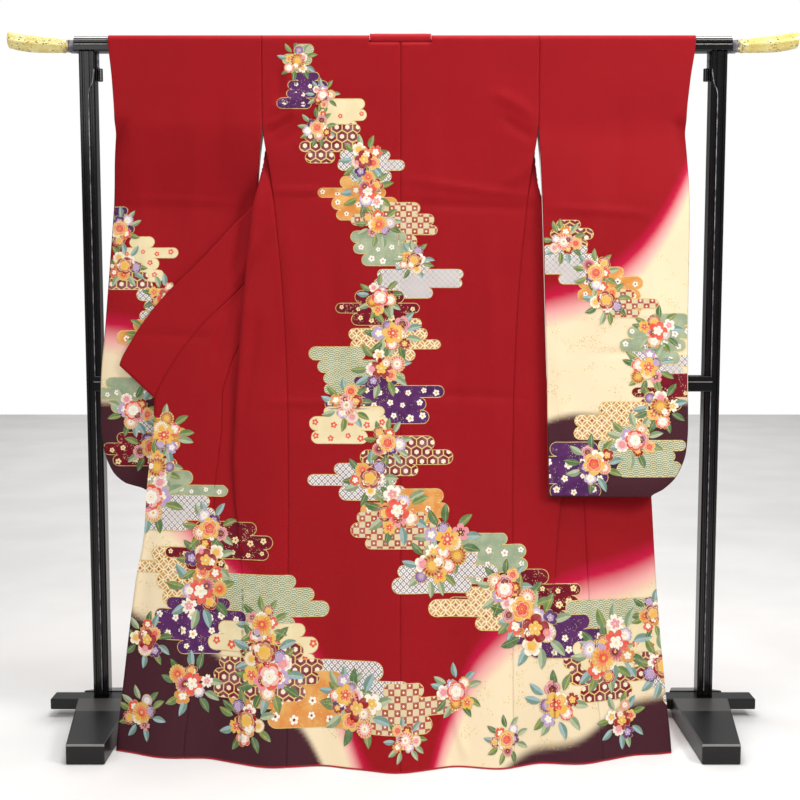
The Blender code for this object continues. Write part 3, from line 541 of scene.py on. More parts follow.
    def front_point(self, side: Side, height: float, distance: float) -> Vector:
        """A point of the front at a distance along its level cut from the side seam."""
        outward, behind = along(self.front_section(side, height), distance)
        return self.cloth_point(side, outward, height, behind)


@dataclass
class Weave:
    """A sheet of cloth as rows of points, with the place of each on the flat cloth.

    down holds each row's place, rising. across holds each point's distance along its row, rising. points
    holds the places in the frame, rows by columns. A missing point is nan.
    """

    down: np.ndarray
    across: np.ndarray
    points: np.ndarray

    def __post_init__(self) -> None:
        """Works out the normals that lift what lies on the cloth."""
        rows = np.gradient(self.points, axis=0)
        columns = np.gradient(self.points, axis=1)
        normal = np.cross(columns, rows)
        self.normals = normal / np.maximum(np.linalg.norm(normal, axis=2, keepdims=True), 1e-12)
        for k in range(1, self.normals.shape[1]):
            bare = np.isnan(self.normals[:, k, 0])
            self.normals[bare, k] = self.normals[bare, k - 1]

    def lifted(self, places: Sequence[Point], lifts: Sequence[float],
               sign: float) -> tuple[np.ndarray, np.ndarray]:
        """Points lifted off the cloth.

        Args:
            places: (across, down) of each point.
            lifts: Its distance off the cloth's middle surface.
            sign: 1 or -1, the way along the weave's normals.

        Returns:
            The points in the frame, and the way in which each was lifted.
        """
        flat = np.array(places, dtype=float)
        rows, columns = self.across.shape
        r = np.clip(np.interp(flat[:, 1], self.down, np.arange(rows)), 0, rows - 1.001)
        i = r.astype(int)
        f = r - i
        marks = np.arange(columns)
        c = np.empty(len(flat))
        for k, across in enumerate(flat[:, 0]):
            line = (1 - f[k]) * self.across[i[k]] + f[k] * self.across[i[k] + 1]
            c[k] = np.interp(across, line, marks)
        whole = (~np.isnan(self.points[:, :, 0])).sum(axis=1)
        c = np.clip(c, 0, np.minimum(whole[i], whole[i + 1]) - 1.001)
        j = c.astype(int)
        f, g = f[:, None], (c - j)[:, None]
        shares = (
            ((1 - f) * (1 - g), i, j), ((1 - f) * g, i, j + 1), (f * (1 - g), i + 1, j), (f * g, i + 1, j + 1),
        )
        point = sum(share * self.points[a, b] for share, a, b in shares)
        normal = sum(share * self.normals[a, b] for share, a, b in shares) * sign
        normal /= np.maximum(np.linalg.norm(normal, axis=1, keepdims=True), 1e-9)
        return point + normal * np.array(lifts)[:, None], normal


class Loom:
    """Gathers the rows of a sheet in the stand's own axes."""

    def __init__(self) -> None:
        """Starts with no row."""
        self.down, self.across, self.points = [], [], []

    def row(self, down: float, across: Sequence[float], points: Sequence[Vector]) -> None:
        """Adds a row: its place down the cloth, and its points with their places across."""
        self.down.append(down)
        self.across.append(across)
        self.points.append([tuple(point) for point in points])

    def weave(self, drape: Drape) -> Weave:
        """The sheet, moved into the frame."""
        places = np.array(self.points, dtype=float)
        places[..., 1] += drape.shift
        return Weave(np.array(self.down), np.array(self.across), places)


def new_piece(name: str, points: Sequence[Point3], faces: Sequence[Sequence[int]]) -> bpy.types.Object:
    """A smooth piece from its points and faces."""
    mesh = bpy.data.meshes.new(name)
    mesh.from_pydata(points, [], faces)
    mesh.shade_smooth()
    piece = bpy.data.objects.new(name, mesh)
    bpy.context.scene.collection.objects.link(piece)
    return piece


def lay_out(mesh: bpy.types.Mesh, places: Sequence[Point]) -> None:
    """Keeps each corner's place on the flat cloth as the UV map."""
    mesh.uv_layers.new(name="cloth").data.foreach_set("uv", np.array(places, dtype=np.float32).ravel())


def colour_in(mesh: bpy.types.Mesh, name: str, domain: str, colours: Sequence[Colour]) -> None:
    """Keeps a colour at each point or corner."""
    layer = mesh.attributes.new(name, "FLOAT_COLOR", domain)
    layer.data.foreach_set("color", np.array([(*c, 1.0) for c in colours], dtype=np.float32).ravel())


@dataclass
class Cloth:
    """One cut and sewn piece of the garment: its sheet, its dyes and its cut."""

    node: str
    weave: Weave
    flip: bool
    outer: Paint
    inner: Paint
    flat: tuple[float, float]
    area: float | None = None
    thickness: float = 0.0013
    weld: float = 2e-5

    def build(self, finishes: Sequence[bpy.types.Material]) -> bpy.types.Object:
        """Args:
            finishes: The outer silk and the lining.

        Returns:
            The shell's object.
        """
        rows, columns = self.weave.across.shape
        points = self.weave.points.reshape(-1, 3)
        whole = ~np.isnan(points[:, 0])
        keys = np.round(np.nan_to_num(points, nan=99.0) / self.weld).astype(np.int64)
        _, first, index = np.unique(keys, axis=0, return_index=True, return_inverse=True)
        index = index.reshape(rows, columns)
        faces, places = [], []
        for i in range(rows - 1):
            for j in range(columns - 1):
                cell = [(i, j), (i, j + 1), (i + 1, j + 1), (i + 1, j)]
                if not all(whole[a * columns + b] for a, b in cell):
                    continue
                seen: dict[int, tuple[int, int]] = {}
                for corner in cell[::-1] if self.flip else cell:
                    seen.setdefault(int(index[corner]), corner)
                if len(seen) > 2:
                    faces.append(list(seen))
                    places += [(self.weave.across[c], self.weave.down[c[0]]) for c in seen.values()]
        used = sorted({v for face in faces for v in face})
        renumber = {v: k for k, v in enumerate(used)}
        faces = [[renumber[v] for v in face] for face in faces]
        piece = new_piece(self.node + "_cloth", [points[first[v]] for v in used], faces)
        lay_out(piece.data, places)
        for name, paint in (("dye", self.outer), ("lining", self.inner)):
            colour_in(piece.data, name, "POINT", [paint(vertex.co) for vertex in piece.data.vertices])
        for finish in finishes:
            piece.data.materials.append(finish)
        wall = piece.modifiers.new("wall", "SOLIDIFY")
        wall.thickness = self.thickness
        wall.offset = 0
        wall.material_offset = 1
        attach(piece, "root")
        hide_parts(self.node)
        log.info("%s: %d points", piece.name, len(used))
        return piece


# The cream's edge on each sleeve as height, slope and bow, and the dark edge as height and slope.
SLEEVE_ZONES = {Side.LEFT: (0.86, 0.16, 0.0, 0.775, -0.05), Side.RIGHT: (0.975, 0.25, 6.3, 0.715, 0.14)}


@dataclass
class Dyes:
    """Where each ground colour lies, by place in the stand's own axes. The shaded edges are hand dyed.

    Each band holds how far above its line an edge starts, and how high it is. Each ripple of a line holds how
    high it is, how often it comes and where it starts.
    """

    body_band: Point = (0.046, 0.112)
    body_dark_band: Point = (0.012, 0.026)
    sleeve_band: Point = (0.045, 0.105)
    sleeve_dark_band: Point = (0.010, 0.022)
    zones_top: float = 0.75
    hem_edge: float = 0.0042
    sleeve_seam: float = 0.32
    reach: float = 0.65
    cream_ripple: Point3 = (0.010, 19.0, 0.6)
    dark_ripple: Point3 = (0.008, 27.0, 1.0)
    sleeve_ripple: Point3 = (0.007, 31.0, 0.0)
    lining_edge: Point = (0.80, 0.02)

    def __post_init__(self) -> None:
        """Works out the edges of the zones low on the body."""
        self.cream = self.zone("cream", self.cream_ripple)
        self.dark = self.zone("dark", self.dark_ripple)

    def ripple(self, x: float, size: Point3) -> float:
        """How far a ripple raises its line at one place."""
        return size[0] * math.sin(size[1] * x + size[2])

    def zone(self, name: str, size: Point3) -> Line:
        """The upper edge of a zone low on the body."""
        return Line(lambda x: HEM_ZONES.at(x, name) + self.ripple(x, size), -self.reach, self.reach)

    def shaded(self, share: float) -> Colour:
        """The hand-dyed edge between red, at 0, and cream, at 1."""
        stops = (RED, CRIMSON, BLUSH, CREAM)
        place = min(max(share, 0.0), 1.0) * (len(stops) - 1)
        first = min(int(place), len(stops) - 2)
        return blend(stops[first], stops[first + 1], place - first)

    def share(self, line: float, z: float, band: Point) -> float:
        """How far a height has passed down through the edge along a line."""
        return (line + band[0] - z) / band[1]

    def body(self, x: float, z: float) -> Colour:
        """The body's ground at one place."""
        if z > self.zones_top:
            return RED
        if z < self.hem_edge:
            return LINING_RED
        colour = self.shaded(self.share(self.cream.at(x), z, self.body_band))
        return blend(colour, AUBERGINE, smooth(self.share(self.dark.at(x), z, self.body_dark_band)))

    def sleeve(self, side: Side, x: float, z: float) -> Colour:
        """A sleeve's ground at one place."""
        out = x * side.value - self.sleeve_seam
        high, slope, bow, low, low_slope = SLEEVE_ZONES[side]
        line, low = high + slope * out + bow * out**3, low + low_slope * out
        share = self.share(line, z, self.sleeve_band)
        if side is Side.LEFT:
            share = min(share, 1.0) * (0.35 + 0.65 * smooth((out - 0.02) / 0.16))
        low += self.ripple(out, self.sleeve_ripple)
        return blend(self.shaded(share), AUBERGINE, smooth(self.share(low, z, self.sleeve_dark_band)))

    def lining(self, z: float) -> Colour:
        """The inside: white above and red below."""
        edge, run = self.lining_edge
        return blend(LINING_RED, LINING_WHITE, smooth((z - edge) / run))


def rows_of(count: int, start: float, end: float, dense: int = 0) -> list[float]:
    """Heights from start to end, with extra rows by the start."""
    step = (end - start) / count
    return [start + step * k / (dense + 1) for k in range(dense + 1)] + spread(start + step, end, count - 1)


@dataclass
class Body:
    """One body length: the back from the hem up, over the bar and down the front, without a shoulder seam."""

    drape: Drape
    side: Side
    fold_columns: int = 16
    inner_columns: int = 14
    edge_columns: int = 11
    neck_columns: int = 13
    back_rows: int = 205
    front_rows: int = 200
    rim: float = 0.0035
    okumi_point: float = 1.27
    shoulder_ease: float = 0.002
    even_top: float = 1.25
    even_run: float = 0.30
    gap_step: float = 0.005

    def front_distances(self, height: float) -> list[float]:
        """How far along a level cut each column of the front lies, closest together at the folds."""
        points = self.drape.front_section(self.side, height)
        whole = chain_length(points) - self.drape.okumi_width(self.side, height)
        gap = self.drape.seam_gap / 2
        at_fold = min(max(chain_length(points[:4]), 0.18 * whole), 0.55 * whole)
        at_inner = min(max(chain_length(points[:8]), at_fold + 0.25 * whole), 0.88 * whole)
        rim = self.rim
        first = [rim + (at_fold - rim) * (1 - (1 - t) ** 1.5) for t in spread(0, 1, self.fold_columns)]
        middle = [t - 0.13 * math.sin(2 * math.pi * t) for t in spread(0, 1, self.inner_columns)]
        second = [lerp(at_fold, at_inner, t) for t in middle]
        end = whole - rim
        third = [at_inner + (end - at_inner) * t**1.5 for t in spread(0, 1, self.edge_columns)]
        return [gap, *first, *second[1:], *third[1:], whole - gap]

    def outwards(self, height: float) -> list[float]:
        """Outward distance of each column of the back, from the side seam to the centre-back seam."""
        drape = self.drape
        edge = BACK.at(height, "side") - drape.seam_gap / 2
        shoulder = [drape.shoulder_half - d for d in self.front_distances(drape.bar_level)]
        top = shoulder + spread(drape.neck_half, drape.seam_gap / 2, self.neck_columns)[1:]
        even = [edge] + spread(edge - self.rim, self.rim, len(top) - 3) + [drape.seam_gap / 2]
        share = smooth((height - self.even_top) / self.even_run)
        return [edge if k == 0 else lerp(a, b, share) for k, (a, b) in enumerate(zip(even, top))]

    def weave(self) -> Weave:
        """The whole length as one sheet, rising from the back hem and falling to the front hem."""
        drape, side, loom = self.drape, self.side, Loom()
        none = [Vector((math.nan,) * 3)] * self.neck_columns

        def past_neck(columns: list[float]) -> list[float]:
            """The places across, with those of the missing points at the neck."""
            return columns + [columns[-1] + self.gap_step * (k + 1) for k in range(self.neck_columns)]

        for height in rows_of(self.back_rows, drape.hem, drape.wrap_foot, 3):
            outs, ease = self.outwards(height), self.shoulder_ease * (height > drape.armhole)
            line = [drape.dipped(drape.cloth_point(side, w, height), w, (outs[0] - w) + ease) for w in outs]
            loom.row(height, [outs[0] - w for w in outs], line)
        columns = self.front_distances(drape.bar_level)
        places = [drape.centre_back + side.value * (drape.shoulder_half - d) for d in columns]
        for down, (y, z) in drape.wrap_rows():
            loom.row(down, past_neck(columns), [Vector((x, y, z)) for x in places] + none)
        for height in reversed(rows_of(self.front_rows, drape.hem, drape.wrap_foot, 3)):
            columns, ease = self.front_distances(height), self.shoulder_ease * (height > drape.armhole)
            seam = columns[-1] if height < self.okumi_point else 9.0
            line = [drape.dipped(drape.front_point(side, height, d), d + ease, seam - d) for d in columns]
            loom.row(drape.over_height - height, past_neck(columns), line + none)
        return loom.weave(drape)


@dataclass
class Okumi:
    """A front overlap panel, pointed where the collar seam cuts it."""

    drape: Drape
    side: Side
    columns: int = 24
    rows: int = 170
    top: float = 1.275
    rim: float = 0.0035

    def weave(self) -> Weave:
        """The panel as one sheet, rising from the hem."""
        drape, side, loom = self.drape, self.side, Loom()
        for height in rows_of(self.rows, drape.hem, self.top, 3):
            whole = drape.whole_front(side, height)
            start = whole - drape.okumi_width(side, height) + drape.seam_gap / 2
            end = whole - drape.seam_gap / 2
            places = [start] + spread(min(start + self.rim, (start + end) / 2), end, self.columns - 1)
            line = [drape.dipped(drape.front_point(side, height, d), d - start) for d in places]
            loom.row(height, places, line)
        return loom.weave(drape)


@dataclass
class Sleeve:
    """A long sleeve: one cloth over the bar, sewn up along its bottom and its outer edge below the cuff."""

    drape: Drape
    side: Side
    columns: int = 46
    rows: int = 132
    bottom: float = 0.549
    cuff: float = 1.350
    cuff_open: float = 1.395
    bottom_run: float = 0.03
    outer_run: float = 0.12
    seam_depth: float = 0.0008

    def half_space(self, share: float, height: float) -> float:
        """Half the space between the walls. It closes along the sewn edges."""
        space = SLEEVE[self.side].at(height, "space") / 2
        low = math.sqrt(smooth((height - self.bottom) / self.bottom_run))
        outer = math.sqrt(smooth((1 - share) / self.outer_run))
        open_cuff = smooth((height - self.cuff) / (self.cuff_open - self.cuff))
        return space * low * max(outer, open_cuff)

    def weave(self) -> Weave:
        """Both walls as one sheet: the near wall from the bottom up, over the bar, and the far wall down."""
        drape, table, loom = self.drape, SLEEVE[self.side], Loom()
        shares = [0.0, 0.012] + spread(0.03, 0.94, self.columns - 7) + [0.96, 0.975, 0.985, 0.993, 1.0]
        heights = [self.bottom + d for d in (0.0, 0.0012, 0.003, 0.006, 0.010)]
        heights += spread(self.bottom + 0.015, drape.wrap_foot, self.rows)

        def places(height: float) -> tuple[list[float], list[float]]:
            """The row's places across, on the flat cloth and along X."""
            inner, outer = table.at(height, "inner"), table.at(height, "outer")
            flat = [share * (outer - inner) for share in shares]
            return flat, [drape.centre_back + self.side.value * lerp(inner, outer, share) for share in shares]

        def level(down: float, height: float, wall: int) -> None:
            """Adds one row of the near (-1) or far (1) wall."""
            rest = drape.resting_y(drape.shoulder_half, height)
            middle = rest + table.at(height, "behind") + table.at(height, "space") / 2
            flat, line = places(height)[0], []
            for share, x in zip(shares, places(height)[1]):
                y = middle + wall * self.half_space(share, height)
                seam = self.seam_depth * math.exp(-((share / 0.010) ** 2)) * (height > drape.armhole)
                line.append(drape.creased(x, y - wall * seam, height, max(0.0, wall)))
            loom.row(down, flat, line)

        for height in heights:
            level(height, height, -1)
        flat, across = places(drape.bar_level)
        for down, (y, z) in drape.wrap_rows():
            loom.row(down, flat, [Vector((x, y, z)) for x in across])
        for height in reversed(heights):
            level(drape.over_height - height, height, 1)
        return loom.weave(drape)


@dataclass
class Collar:
    """The open collar strip round the neck and down both front edges, with the over-collar in its middle."""

    drape: Drape
    columns: int = 20
    neck_rows: int = 64
    join_rows: int = 14
    low_rows: int = 62
    join: float = 1.275
    gap: float = 0.0008
    clear_foot: float = 1.14
    clear_run: float = 0.12
    rise_foot: float = 1.48
    rise_run: float = 0.07

    def point(self, side: Side, outward: float, down: float, behind: float) -> Vector:
        """A point of the laid-out collar, by its distance over the bar from the back neckline."""
        drape = self.drape
        x = drape.centre_back + side.value * outward
        length = drape.over_bar_length(drape.collar_top, drape.collar_rear)
        if down <= length:
            y, z = drape.over_bar(down, drape.collar_top, drape.collar_rear)
            return Vector((x, y + behind, z))
        height = drape.wrap_foot - (down - length)
        hung = drape.hanging_y(x, height) + FRONT[side].at(height, "behind_edge")
        hung += drape.collar_clearance * smooth((height - self.clear_foot) / self.clear_run)
        y = lerp(hung, drape.collar_rear, smooth((height - self.rise_foot) / self.rise_run)) + behind
        return drape.creased(x, y, height, 1.0)

    def row(self, side: Side, places: Sequence[float]) -> list[Vector]:
        """Points across the strip from its seam over its bend to its free edge."""
        seam, bend, edge, behind = places[0:2], places[2:4], places[4:6], places[6]
        line = []
        for share in spread(0, 1, self.columns):
            start, end, t = (seam, bend, share * 2) if share <= 0.5 else (bend, edge, share * 2 - 1)
            back = 0.5 * t * t if share <= 0.5 else 0.5 + 0.5 * smooth(t * 2)
            line.append(self.point(side, lerp(start[0], end[0], t), lerp(start[1], end[1], t), behind * back))
        return line

    def hanging_row(self, side: Side, height: float) -> list[Vector]:
        """The strip below the neck, lying outward of the front panel's edge."""
        drape = self.drape
        out = FRONT[side].at(height, "edge") + 2 * drape.seam_gap
        down = drape.over_bar_length(drape.collar_top, drape.collar_rear) + drape.wrap_foot - height
        angle = math.radians(COLLAR_TURN.at(height, "turn"))
        go_out, go_down = drape.collar_width * math.sin(angle), drape.collar_width * math.cos(angle)
        middle = out + go_out / 2, down + go_down / 2
        return self.row(side, (out, down, *middle, out + go_out, down + go_down, 0.0))

    def half(self, side: Side) -> tuple[list[list[Vector]], list[list[Vector]]]:
        """The rows round the neck from the centre back to the join, and those below it."""
        stations = spread(0.0, COLLAR_NECK.rows[-1][0], self.neck_rows)
        names = COLLAR_NECK.columns.split()[1:]
        neck = [self.row(side, [COLLAR_NECK.at(s, name) for name in names]) for s in stations]
        low = [self.hanging_row(side, z) for z in spread(self.join, self.drape.collar_foot, self.low_rows)]
        shares = [smooth(t) for t in spread(0.0, 1.0, self.join_rows)[1:-1]]
        between = [[a.lerp(b, share) for a, b in zip(neck[-1], low[0])] for share in shares]
        return neck + between + [low[0]], low

    def sheet(self, lines: list[list[Vector]]) -> Weave:
        """Rows as a sheet, with its distances measured along its middle."""
        loom, down, middle = Loom(), 0.0, len(lines[0]) // 2
        for k, line in enumerate(lines):
            down += max(1e-4, (line[middle] - lines[k - 1][middle]).length) if k else 0.0
            steps = [0.0]
            for a, b in zip(line, line[1:]):
                steps.append(steps[-1] + (b - a).length)
            loom.row(down, steps, line)
        return loom.weave(self.drape)

    def weaves(self) -> dict[str, Weave]:
        """The over-collar and both lower ends, by node name."""
        halves = {side: self.half(side) for side in Side}
        parts = {"over_collar": halves[Side.LEFT][0][::-1] + halves[Side.RIGHT][0][1:]}
        for side in Side:
            low = halves[side][1]
            share = self.gap / (low[0][0] - low[1][0]).length
            low = [[a.lerp(b, share) for a, b in zip(low[0], low[1])]] + low[1:]
            parts[f"collar_{side.label}"] = low[::-1] if side is Side.LEFT else low
        return {name: self.sheet(lines) for name, lines in parts.items()}


def sum_of(operation: str, turned: bool = False) -> Callable[[Wire, Wire | float], Wire]:
    """An operator between wires, which adds one Math node. A turned one puts the other value first."""

    def act(self: Wire, other: Wire | float) -> Wire:
        """Adds the node."""
        return self.shop.math(operation, *((other, self) if turned else (self, other)))

    return act


class Wire:
    """A node's output in a shader sum. Arithmetic on it adds Math nodes."""

    __add__ = __radd__ = sum_of("ADD")
    __sub__, __rsub__ = sum_of("SUBTRACT"), sum_of("SUBTRACT", True)
    __mul__ = __rmul__ = sum_of("MULTIPLY")
    __truediv__ = sum_of("DIVIDE")
    __gt__, __lt__ = sum_of("GREATER_THAN"), sum_of("LESS_THAN")

    def __init__(self, shop: Shop, socket: bpy.types.NodeSocket) -> None:
        """Wraps one output socket."""
        self.shop, self.socket = shop, socket

    def part(self) -> Wire:
        """What is left of it above the next whole number down."""
        return self.shop.math("FRACT", self)

    def size(self) -> Wire:
        """It without its sign."""
        return self.shop.math("ABSOLUTE", self)

    def ramp(self, low: float, high: float) -> Wire:
        """A soft step from 0 at low to 1 at high."""
        return self.shop.node("MapRange", "Result", {"interpolation_type": "SMOOTHSTEP"}, {
            "Value": self, "From Min": low, "From Max": high, "To Min": 0.0, "To Max": 1.0,
        })


class Shop:
    """One material's nodes."""

    def __init__(self, name: str) -> None:
        """Starts a material with its one shader."""
        self.material = bpy.data.materials.new(name)
        self.material.use_nodes = True
        self.tree = self.material.node_tree
        self.shader = self.tree.nodes["Principled BSDF"]

    def node(self, kind: str, output: str | int, settings: dict | None = None,
             inputs: dict | None = None) -> Wire:
        """Adds a node.

        Args:
            kind: The node's type, without the words that all of them start with.
            output: Its output's name or number.
            settings: Its own settings, set first.
            inputs: Values or wires by socket name or number.

        Returns:
            The output.
        """
        node = self.tree.nodes.new("ShaderNode" + kind)
        for name, value in (settings or {}).items():
            setattr(node, name, value)
        for name, value in (inputs or {}).items():
            self.join(node.inputs[name], value)
        return Wire(self, node.outputs[output])

    def join(self, socket: bpy.types.NodeSocket, value: "Wire | float | Sequence[float]") -> None:
        """Feeds a socket with a wire, or sets it."""
        if isinstance(value, Wire):
            self.tree.links.new(value.socket, socket)
        elif isinstance(value, tuple) and len(value) == 3 and socket.type == "RGBA":
            socket.default_value = (*value, 1.0)
        else:
            socket.default_value = value

    def math(self, operation: str, *values: Wire | float) -> Wire:
        """A Math node."""
        return self.node("Math", 0, {"operation": operation}, dict(enumerate(values)))

    def mix(self, share: Wire | float, a: Wire | Colour, b: Wire | Colour) -> Wire:
        """A colour between two others."""
        return self.node("Mix", 2, {"data_type": "RGBA", "clamp_factor": True}, {0: share, 6: a, 7: b})

    def painted(self, name: str) -> Wire:
        """A colour that was painted on the mesh."""
        return self.node("Attribute", "Color", {"attribute_name": name})

    def place(self, uv: str = "", scale: Sequence[float] = (1.0, 1.0, 1.0)) -> Wire:
        """A place on the piece: its object coordinates, or a UV map."""
        source = self.node("UVMap", "UV", {"uv_map": uv}) if uv else self.node("TexCoord", "Object")
        return self.node("Mapping", "Vector", {"vector_type": "POINT"}, {"Vector": source, "Scale": scale})

    def axes(self, vector: Wire) -> list[Wire]:
        """A vector's three numbers."""
        first = self.node("SeparateXYZ", 0, None, {"Vector": vector})
        return [Wire(self, out) for out in first.socket.node.outputs]

    def noise(self, vector: Wire, scale: float, detail: float = 3.0, rough: float = 0.5) -> Wire:
        """Soft noise from 0 to 1."""
        inputs = {"Vector": vector, "Scale": scale, "Detail": detail, "Roughness": rough}
        return self.node("TexNoise", "Fac", None, inputs)

    def crepe(self, flat: Wire) -> Wire:
        """The fine grain of silk crepe, from 0 to 1."""
        return self.noise(flat, 900.0, 2.0)

    def cells(self, vector: Wire, scale: float) -> Wire:
        """Distance to scattered points."""
        return self.node("TexVoronoi", "Distance", {"feature": "F1"}, {"Vector": vector, "Scale": scale})

    def stripes(self, vector: Wire, scale: float, direction: str, distortion: float = 0.0) -> Wire:
        """Even waves from 0 to 1 along one direction."""
        settings = {"wave_type": "BANDS", "bands_direction": direction}
        inputs = {"Vector": vector, "Scale": scale, "Distortion": distortion}
        return self.node("TexWave", "Fac", settings, inputs)

    def feed(self, colour: Wire, roughness: Wire, height: Wire, **others: Wire | float) -> None:
        """Feeds the shader.

        Args:
            colour: Its base colour.
            roughness: Its roughness.
            height: A relief in metres.
            others: What other sockets take. Spaces in their names are written as underscores.
        """
        inputs = {"Strength": 1.0, "Distance": 1.0, "Height": height}
        bump = self.node("Bump", "Normal", None, inputs)
        others.update(Base_Color=colour, Roughness=roughness, Normal=bump)
        for name, value in others.items():
            self.join(self.shader.inputs[name.replace("_", " ")], value)


@dataclass(frozen=True)
class Finish:
    """A finish that one material holds."""

    name: str

    def work(self, shop: Shop) -> None:
        """Joins the nodes and feeds the shader. Each finish has its own way."""
        raise NotImplementedError

    def make(self) -> bpy.types.Material:
        """The material."""
        shop = Shop(self.name)
        self.work(shop)
        return shop.material


PAINTED = {"Sheen_Weight": 0.02, "Specular_IOR_Level": 0.08}


@dataclass(frozen=True)
class Silk(Finish):
    """Dyed silk crepe: a fine pebbled weave, a soft sheen and faint storage creases."""

    attribute: str
    roughness: float
    gold_dust: bool = False

    def work(self, shop: Shop) -> None:
        """The weave over the painted ground, with gold dust on what is pale."""
        flat = shop.place("cloth")
        weave = shop.stripes(flat, 420.0, "Y", 1.2) * 0.5 + shop.crepe(flat) * 0.8
        slack = shop.noise(flat, 7.0, 2.0, 0.4)
        tone = shop.noise(flat, 3.0, 3.0, 0.6)
        ground = shop.painted(self.attribute)
        colour = shop.mix(tone.ramp(0.25, 0.80) * 0.10, ground, BLACK)
        colour = shop.mix((weave > 0.92) * 0.05, colour, WHITE)
        rough, metal = 0.06 * tone + self.roughness, 0.0
        if self.gold_dust:
            red, green, _ = shop.axes(ground)
            pale = (green / (red + 0.001)).ramp(0.45, 0.75)
            specks = (shop.cells(flat, 260.0) < 0.26) * (shop.noise(flat, 22.0, 2.0) > 0.56) * pale
            colour = shop.mix(specks, colour, GOLD)
            rough, metal = rough - specks * 0.2, specks * 0.5
        height = weave * 0.00004 + slack * 0.0042 + shop.noise(flat, 26.0) * 0.0009
        shop.feed(colour, rough, height, Metallic=metal, Sheen_Weight=0.02, Sheen_Roughness=0.40,
                  Specular_IOR_Level=0.06)


class Fill(Enum):
    """What a painted shape is filled with."""

    PAINT = 0
    GOLD = 1
    KANOKO = 2
    WAVES = 3
    RINGS = 4
    HEXAGONS = 5
    CHECKS = 6
    CREAM = 7
    VIOLET = 8
    ENJI = 9
    ORANGE = 10
    STEM = 11


@dataclass(frozen=True)
class PaintedDye(Finish):
    """Brush dyeing in the colours that the mesh carries."""

    def work(self, shop: Shop) -> None:
        """The painted colours with a soft wash."""
        flat = shop.place("cloth")
        wash = shop.noise(flat, 60.0)
        colour = shop.mix(wash.ramp(0.3, 0.8) * 0.10, shop.painted("dye"), WHITE)
        shop.feed(colour, 0.05 * wash + 0.52, shop.crepe(flat) * 0.00005, **PAINTED)


@dataclass(frozen=True)
class GoldThread(Finish):
    """Couched gold thread and leaf."""

    def work(self, shop: Shop) -> None:
        """Slanting threads, worn unevenly."""
        flat = shop.place("cloth")
        worn = shop.noise(flat, 120.0)
        colour = shop.mix(worn.ramp(0.35, 0.75), GOLD, PALE_GOLD)
        thread = shop.stripes(flat, 300.0, "DIAGONAL")
        shop.feed(colour, 0.15 * worn + 0.36, thread * 0.0001, Metallic=0.5 * worn + 0.25)


@dataclass(frozen=True)
class SmallPattern(Finish):
    """A traditional small repeat in two or three dyes. size is one repeat in metres."""

    fill: Fill
    size: float
    ground: Colour
    figure: Colour
    accent: Colour = PALE_GOLD

    def centred(self, u: Wire, v: Wire) -> tuple[Wire, Wire, Wire]:
        """A place in its repeat from the repeat's middle, and its distance from there."""
        a, b = u.part() - 0.5, v.part() - 0.5
        return a, b, u.shop.math("SQRT", a * a + b * b)

    def masks(self, shop: Shop, u: Wire, v: Wire) -> tuple[Wire, Wire | float]:
        """Where the figure and the accent lie, from places counted in repeats."""
        if self.fill is Fill.KANOKO:
            a, b, r = self.centred(u + v, u - v)
            return shop.math("MAXIMUM", a.size(), b.size()).ramp(0.36, 0.46), r < 0.13
        if self.fill is Fill.WAVES:
            return self.scales(shop, u, v), 0.0
        if self.fill is Fill.RINGS:
            circles = [self.centred(u + d, v + d)[2] for d in (0.0, 0.5)]
            nearest = shop.math("MINIMUM", *((r - 0.5).size() for r in circles))
            return 1 - nearest.ramp(0.035, 0.065), circles[0] < 0.09
        if self.fill is Fill.HEXAGONS:
            edges = []
            for d in (0.0, 0.5):
                a, b = ((u + d).part() - 0.5).size(), ((v / 1.7321 + d).part() - 0.5).size() * 1.7321
                edges.append(shop.math("MAXIMUM", a, a * 0.5 + b * 0.8660))
            far = shop.math("MINIMUM", *edges)
            return far.ramp(0.43, 0.47), far < 0.20
        check = (((u * 0.5).part() > 0.5) - ((v * 0.5).part() > 0.5)).size()
        diamond = (u.part() - 0.5).size() + (v.part() - 0.5).size()
        return check, (diamond < 0.22) * check

    def scales(self, shop: Shop, u: Wire, v: Wire) -> Wire:
        """Overlapping scales: each lower row of half circles covers the one above it."""
        inked = None
        for step in (0.0, 1.0, 2.0, 3.0):
            row = shop.math("FLOOR", v * 4.0) - step
            a = (u + (row * 0.5).part()).part() - 0.5
            b = v - row * 0.25
            r = shop.math("SQRT", a * a + b * b)
            inside = r < 0.5
            rings = ((r * 6.0).part() - 0.5).size().ramp(0.20, 0.30) * inside
            inked = rings if inked is None else inked * (1 - inside) + rings
        return inked

    def work(self, shop: Shop) -> None:
        """The repeat under a soft wash."""
        flat = shop.place("cloth")
        u, v, _ = shop.axes(shop.place("cloth", (1 / self.size, 1 / self.size, 1.0)))
        figure, accent = self.masks(shop, u, v)
        wash = shop.noise(flat, 40.0)
        colour = shop.mix(accent, shop.mix(figure, self.ground, self.figure), self.accent)
        colour = shop.mix(wash.ramp(0.3, 0.8) * 0.12, colour, WHITE)
        height = figure * 0.00015 + shop.crepe(flat) * 0.00005
        shop.feed(colour, 0.06 * wash + 0.50, height, **PAINTED)


